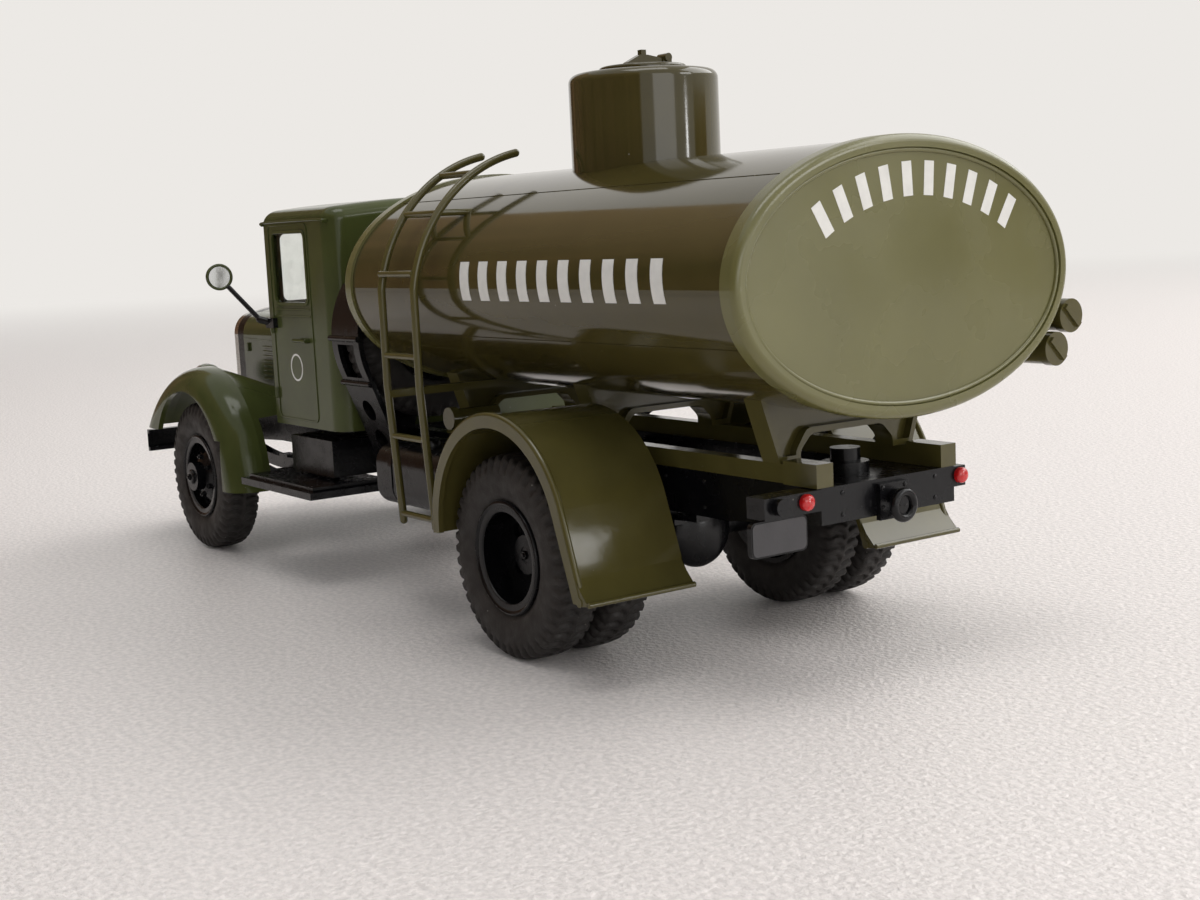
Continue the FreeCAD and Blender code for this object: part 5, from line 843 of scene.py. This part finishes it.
class TANKER_OT_fittings(bpy.types.Operator):
    """Build the mirror rims, blank plate, step treads, mudguard edges, tank straps and wipers"""

    bl_idname = "tanker.fittings"
    bl_label = "Small Fittings"

    def execute(self, context):
        self.mirror_rims()
        low, high = span_of("number_plate")
        loop = rounded_loop(low[1:] + 0.2 * MM, high[1:] - 0.2 * MM, 0.6 * MM)
        face = points_at(low[0], *loop.T)
        add_piece("blank_plate", loft([face + 0.1 * MM * X, face - 0.06 * MM * X]), "blank_plate")
        low, high = span_of("steps")
        bars = np.arange(low[0] + 2.4 * MM, high[0] - 2.4 * MM, 1.3 * MM)
        bar = block(mm(-0.2, -3.1, -0.1), mm(0.2, 3.1, 0.14))
        tread = points_at(bars, high[1] - 4.6 * MM, low[2] + 1.1 * MM)
        add_piece("step_treads", both_sides(repeat(bar, tread)), "chassis_black")
        self.guard_beads(rear_axle_place())
        self.fuel_straps()
        self.wipers()
        return {"FINISHED"}

    def mirror_rims(self):
        """A ring round each mirror's glass, its axis turned a little outwards."""
        low, high, radius, middle = round_node("mirror_glasses")
        axis = np.array([-1, 0.2, 0]) / math.hypot(1, 0.2)
        centre = ((low[0] + high[0]) / 2, high[1] + radius * axis[0], middle)
        tube = circle(0.24 * MM)[:, ::-1] + (0.1 * MM, radius + 0.1 * MM)
        rims = both_sides(lathe(tube, centre, axis, 48, closed=True))
        add_piece("mirror_rims", rims, "cab_green")

    def guard_beads(self, rear_axle):
        """The rolled edge of each rear mudguard and the flare of its flap.

        The edge's line is hub + radius (cos t, sin t) over the arch, then straight down the flap.
        The flare's upper side leaves the flap by 1 - cos t, over a quarter turn.
        """
        low, high = span_of("mudguard_left")
        hub = GUARD_HUB + (rear_axle, 0)
        turn = np.radians(np.linspace(-4, 160, 60))
        arch = hub + GUARD_RADIUS * spin(turn)
        foot = low[[0, 2]] + mm(0.3, 0.2)
        line = np.vstack([arch, arch[-1] + np.linspace(0.1, 1, 12)[:, None] * (foot - arch[-1])])
        path = points_at(line[:, 0], high[1] - 0.44 * MM, line[:, 1])
        out = units(np.gradient(path, axis=0)[:, [2, 1, 0]] * (1, 1, -1))
        bead = carry(path, Y, out, circle(0.42 * MM))
        inner, outer = low[1] + 0.1 * MM, high[1] - 0.1 * MM
        start = foot + 0.36 * (arch[-1] - foot)
        share = np.linspace(0, 1, 14)[:, None]
        away = 1.5 * MM * (1 - np.cos(share * np.pi / 2)) * np.array([-1, 0.1])
        upper = start + share * (foot - start) + away
        section = np.vstack([upper, foot + mm(0.2, -0.1)])
        flare = loft([points_at(section[:, 0], side, section[:, 1]) for side in (inner, outer)])
        edge = upper[-1] + (0, 0.15 * MM)
        curl = rod((edge[0], inner, edge[1]), (edge[0], outer, edge[1]), 0.34 * MM, 14)
        add_piece("guard_beads", both_sides(join([bead, flare, curl])), "satin_olive")

    def fuel_straps(self):
        """Two bands round the fuel tank, a hair outside its box, and its filler cap."""
        low, high = span_of("fuel_tank")
        inner = high[1] - 11.6 * MM
        loop = rounded_loop((inner, low[2]), (high[1], high[2]), 3.0 * MM)
        path = points_at(0, *loop.T)
        section = bar_section(1.1 * MM, 0.16 * MM)
        band = carry(path, X, units(path - path.mean(0)), section, closed=True)
        spots = np.array([(low[0] + share * (high[0] - low[0]), 0, 0) for share in (0.22, 0.78)])
        cap = mm((-0.4, 1.5), (0.5, 1.5), (0.9, 1.25), (1.0, 0.6))
        filler = lathe(cap, (low[0] + 0.5 * (high[0] - low[0]), high[1] - 4.0 * MM, high[2]), Z, 24)
        add_piece("fuel_straps", join([repeat(band, spots), filler]), "chassis_black")

    def wipers(self):
        """Wipers at rest on the windscreens: hubs at the lower edge and blades along it."""
        nose = span_of("cab_shell")[1][0]
        shapes = []
        for side in (6.0, 13.4):
            foot = np.array([nose - 0.19 * side * MM + 0.5 * MM, side * MM, 43.0 * MM])
            shapes.append(rod(foot - 0.9 * MM * X, foot + 0.1 * MM * X, 0.4 * MM, 12))
            shapes.append(rod(foot, foot + mm(-0.9, 4.6, 0.1), 0.15 * MM, 8))
        add_piece("wipers", both_sides(join(shapes)), "chassis_black")


class TANKER_OT_fasteners(bpy.types.Operator):
    """Build the frame's rivets, the axle's cover, and the bolts of the rear beam and springs"""

    bl_idname = "tanker.fasteners"
    bl_label = "Rivets and Bolts"

    def execute(self, context):
        sizes = context.scene.tanker_sizes
        side = span_of("frame_rail_left")[1][1]
        rear_axle = rear_axle_place()
        places = np.arange(-18.0, 96.0, 7.6) * MM + rear_axle
        rows = [points_at(places, side, height * MM) for height in (22.3, 19.1)]
        rivets = repeat(dome_head(sizes.rivet_radius, 0.18 * MM, Y), np.vstack(rows))
        add_piece("frame_rivets", both_sides(rivets), "chassis_black")
        self.axle_cover(rear_axle)
        self.beam_bolts()
        self.spring_bolts(rear_axle)
        return {"FINISHED"}

    def axle_cover(self, rear_axle):
        """The rear axle's domed cover with a circle of nuts."""
        bolt_circle, cover_radius, bulge = mm(4.4, 5.1, 2.2)
        ring = circle(bolt_circle, 10) + (0, tyre_radius())
        spots = points_at(rear_axle - 3.05 * MM, *ring.T)
        cover = dome_head(cover_radius, bulge, -X, (rear_axle - 3.0 * MM, 0, tyre_radius()), 48, 12)
        bolts = repeat(nut(0.34 * MM, 0.5 * MM, -X), spots)
        add_piece("axle_cover", join([cover, bolts]), "chassis_black")

    def beam_bolts(self):
        """Bolt heads on the rear beam and on the tow ring's base plate."""
        low, _ = span_of("rear_beam")
        middle, rise = 21.4 * MM, 1.25 * MM
        heads = [(low[0] - out * MM, side * MM, middle + step * rise)
                 for out, across_beam, climb in ((0, 7.4, 1), (0.7, 1.75, 0.9))
                 for side in (-across_beam, across_beam) for step in (-climb, climb)]
        add_piece("beam_bolts", repeat(dome_head(0.3 * MM, 0.18 * MM, -X), heads), "chassis_black")

    def spring_bolts(self, rear_axle):
        """Pairs of nuts that clamp each rear spring to the axle."""
        _, high = span_of("springs_rear")
        heads = [(rear_axle + place * MM, side, high[2])
                 for place in (-2.4, 2.4) for side in (high[1] - 0.7 * MM, high[1] - 2.3 * MM)]
        nuts = repeat(nut(0.5 * MM, 0.5 * MM, Z), heads)
        add_piece("spring_bolts", both_sides(nuts), "chassis_black")


class TANKER_OT_lamps(bpy.types.Operator):
    """Build the headlamps' bezels and reflectors and the domed tail lenses"""

    bl_idname = "tanker.lamps"
    bl_label = "Lamps"

    def execute(self, context):
        low, high, radius, middle = round_node("headlamp_glasses")
        centre = (low[0], high[1] - radius, middle)
        bezel = mm((-0.5, 0.3), (0.5, 0.3), (0.7, 0.1), (0.62, -0.15), (0.3, -0.05), (-0.5, 0))
        bezels = both_sides(lathe(bezel + (0, radius), centre, X, 48, closed=True))
        add_piece("headlamp_bezels", bezels, "bright_metal")
        bowl = np.linspace(0.02, 1, 10)
        front = list(zip(0.05 * MM + 0.22 * MM * bowl ** 2, bowl * (radius - 0.1 * MM)))
        back = [(0.02 * MM, radius - 0.1 * MM), (0.02 * MM, 0.02 * radius)]
        reflectors = both_sides(lathe(front + back, centre, X, 48, closed=True))
        add_piece("headlamp_reflectors", reflectors, "bright_metal")
        low, high, radius, middle = round_node("tail_lamps")
        angle = np.linspace(0, 0.48 * np.pi, 8)
        reach = (high[0] - low[0]) * (0.4 + 0.6 * np.sin(angle))
        profile = [(0, radius)] + list(zip(reach, radius * np.cos(angle)))
        lenses = [lathe(profile, (high[0], place, middle), -X, 32)
                  for place in (high[1] - radius, low[1] + radius)]
        add_piece("tail_lenses", join(lenses), "red_lens", TRUCK, ["tail_lamps"])
        return {"FINISHED"}


class TANKER_OT_finishes(bpy.types.Operator):
    """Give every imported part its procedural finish"""

    bl_idname = "tanker.finishes"
    bl_label = "Finishes"

    def execute(self, context):
        for name, node in frame["nodes"].items():
            slot = node.material_slots[0].material.name.split(".")[0]
            if slot not in SLOTS:
                raise RuntimeError(f"{name} has an unknown finish {slot}")
            node.material_slots[0].material = finish_of(slot)
        return {"FINISHED"}


# Stage
EYE = mm(-217.287, 133.674, 53.503)
YAW, PITCH, ROLL = -0.609, -0.135, -0.047
LENS_ON_36 = 49.44


def camera_turn():
    """The camera's right, up and back directions from its yaw, pitch and roll."""
    level = math.cos(PITCH)
    look = np.array([math.cos(YAW) * level, math.sin(YAW) * level, math.sin(PITCH)])
    right = np.cross(look, Z)
    right /= np.linalg.norm(right)
    up = np.cross(right, look)
    turned_right = math.cos(ROLL) * right + math.sin(ROLL) * up
    turned_up = math.cos(ROLL) * up - math.sin(ROLL) * right
    return np.stack([turned_right, turned_up, -look], 1)


# Each lamp: its name, its place, how high above the origin it aims, and its size, all in metres,
# and its power in watts.
LAMPS = (
    ("window_right", (-0.28, -1.00, 0.80), 0.04, (1.3, 0.8), 10.4),
    ("window_behind", (-0.79, -0.48, 0.34), 0.02, (0.32, 0.20), 1.0),
    ("window_slit", (-0.80, -0.43, 0.07), 0.06, (0.05, 0.12), 0.3),
    ("window_back", (-1.20, 0.12, 0.28), 0.04, (0.7, 0.4), 1.4),
    ("ceiling", (-0.2, 0.05, 1.2), 0.0, (0.8, 0.5), 4.2),
)
# The dim sides of the room: name, first and last turn in degrees, and height in metres.
CARDS = (("room_left", -8, 140, 0.95), ("room_right", -138, -112, 0.14))
CARD_RADIUS = 0.95
FLOOR_HALF = 3


def add_lamp(name, where, aim_height, size, power):
    """A soft rectangular lamp that faces a point above the origin."""
    lamp = bpy.data.lights.new(name, "AREA")
    lamp.shape = "RECTANGLE"
    lamp.size, lamp.size_y = size
    lamp.energy = power
    holder = bpy.data.objects.new(name, lamp)
    holder.location = where
    ahead = Vector((0, 0, aim_height)) - Vector(where)
    holder.rotation_euler = ahead.to_track_quat("-Z", "Y").to_euler()
    show(holder)


def add_stage_sheet(name, points, material):
    """A grid of points as a sheet of the stage."""
    rows, columns = points.shape[:2]
    here = np.arange(rows * columns).reshape(rows, columns)
    quads = np.stack([here[:-1, :-1], here[1:, :-1], here[1:, 1:], here[:-1, 1:]], -1)
    mesh = bpy.data.meshes.new(name)
    mesh.from_pydata(points.reshape(-1, 3).tolist(), [], quads.reshape(-1, 4).tolist())
    mesh.materials.append(material)
    sheet = bpy.data.objects.new(name, mesh)
    show(sheet)
    return sheet


def backdrop_world():
    """A pale backdrop for what the camera, glass and shiny paint see, and a soft even light."""
    world = bpy.data.worlds.new("stage_light")
    bpy.context.scene.world = world
    world.use_nodes = True
    nodes, links = world.node_tree.nodes, world.node_tree.links
    light = node_of(nodes, "BACKGROUND")
    preset(light, {"Color": (0.93, 0.96, 1.0, 1), "Strength": 0.44})
    seen = nodes.new("ShaderNodeBackground")
    seen.inputs["Color"].default_value = (*tint(236, 233, 229), 1)
    path = nodes.new("ShaderNodeLightPath")
    rays = path.outputs["Is Camera Ray"]
    for label in ("Is Glossy Ray", "Is Transmission Ray"):
        total = nodes.new("ShaderNodeMath")
        total.operation = "MAXIMUM"
        links.new(rays, total.inputs[0])
        links.new(path.outputs[label], total.inputs[1])
        rays = total.outputs["Value"]
    blend = nodes.new("ShaderNodeMixShader")
    links.new(rays, blend.inputs["Fac"])
    links.new(light.outputs["Background"], blend.inputs[1])
    links.new(seen.outputs["Background"], blend.inputs[2])
    links.new(blend.outputs["Shader"], node_of(nodes, "OUTPUT_WORLD").inputs["Surface"])


class TANKER_OT_stage(bpy.types.Operator):
    """Set the pale floor, the lights and the camera"""

    bl_idname = "tanker.stage"
    bl_label = "Stage"

    def execute(self, context):
        side = np.linspace(-FLOOR_HALF, FLOOR_HALF, 13)
        add_stage_sheet("floor", points_at(side[:, None], side[None, :], 0.0), floor_finish())
        backdrop_world()
        finish = card_finish("stage_card")
        for name, first, last, top in CARDS:
            turn = np.radians(np.linspace(first, last, 40))[:, None]
            height = np.linspace(0.0, top, 12)[None, :]
            wall = points_at(CARD_RADIUS * np.cos(turn), CARD_RADIUS * np.sin(turn), height)
            card = add_stage_sheet(name, wall, finish)
            for ray in ("camera", "diffuse", "shadow", "transmission"):
                setattr(card, "visible_" + ray, False)
        for lamp in LAMPS:
            add_lamp(*lamp)
        camera = bpy.data.cameras.new("photo_camera")
        camera.lens, camera.sensor_width = LENS_ON_36, 36.0
        camera.clip_start, camera.clip_end = 0.005, 20
        holder = bpy.data.objects.new("photo_camera", camera)
        place = np.eye(4)
        place[:3, :3], place[:3, 3] = camera_turn(), EYE
        holder.matrix_world = Matrix(place.tolist())
        show(holder)
        context.scene.camera = holder
        context.scene.view_settings.view_transform = "Standard"
        return {"FINISHED"}


OPERATORS = (
    TANKER_OT_finishes,
    TANKER_OT_tyres,
    TANKER_OT_wheel_trim,
    TANKER_OT_tank_seams,
    TANKER_OT_tank_marks,
    TANKER_OT_cab_trim,
    TANKER_OT_hood_trim,
    TANKER_OT_fittings,
    TANKER_OT_fasteners,
    TANKER_OT_lamps,
    TANKER_OT_stage,
)


class TANKER_PT_pieces(bpy.types.Panel):
    """Lists the pieces, their sizes and their colours"""

    bl_idname = "TANKER_PT_pieces"
    bl_label = "Tanker Truck"
    bl_space_type = "VIEW_3D"
    bl_region_type = "UI"
    bl_category = "Tanker"

    def draw(self, context):
        for group in (context.scene.tanker_sizes, context.scene.tanker_colours):
            column = self.layout.column()
            for name in group.bl_rna.properties.keys():
                if name not in ("rna_type", "name"):
                    column.prop(group, name)
        for operator in OPERATORS:
            self.layout.operator(operator.bl_idname)


CLASSES = (TANKER_PG_colours, TANKER_PG_sizes, *OPERATORS, TANKER_PT_pieces)


def register():
    for item in CLASSES:
        bpy.utils.register_class(item)
    bpy.types.Scene.tanker_colours = PointerProperty(type=TANKER_PG_colours)
    bpy.types.Scene.tanker_sizes = PointerProperty(type=TANKER_PG_sizes)


def unregister():
    del bpy.types.Scene.tanker_sizes
    del bpy.types.Scene.tanker_colours
    for item in reversed(CLASSES):
        bpy.utils.unregister_class(item)


def main():
    """Register the add-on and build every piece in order."""
    register()
    for operator in OPERATORS:
        getattr(bpy.ops.tanker, operator.bl_idname.split(".")[1])()
    bpy.context.view_layer.update()


if __name__ == "__main__":
    main()
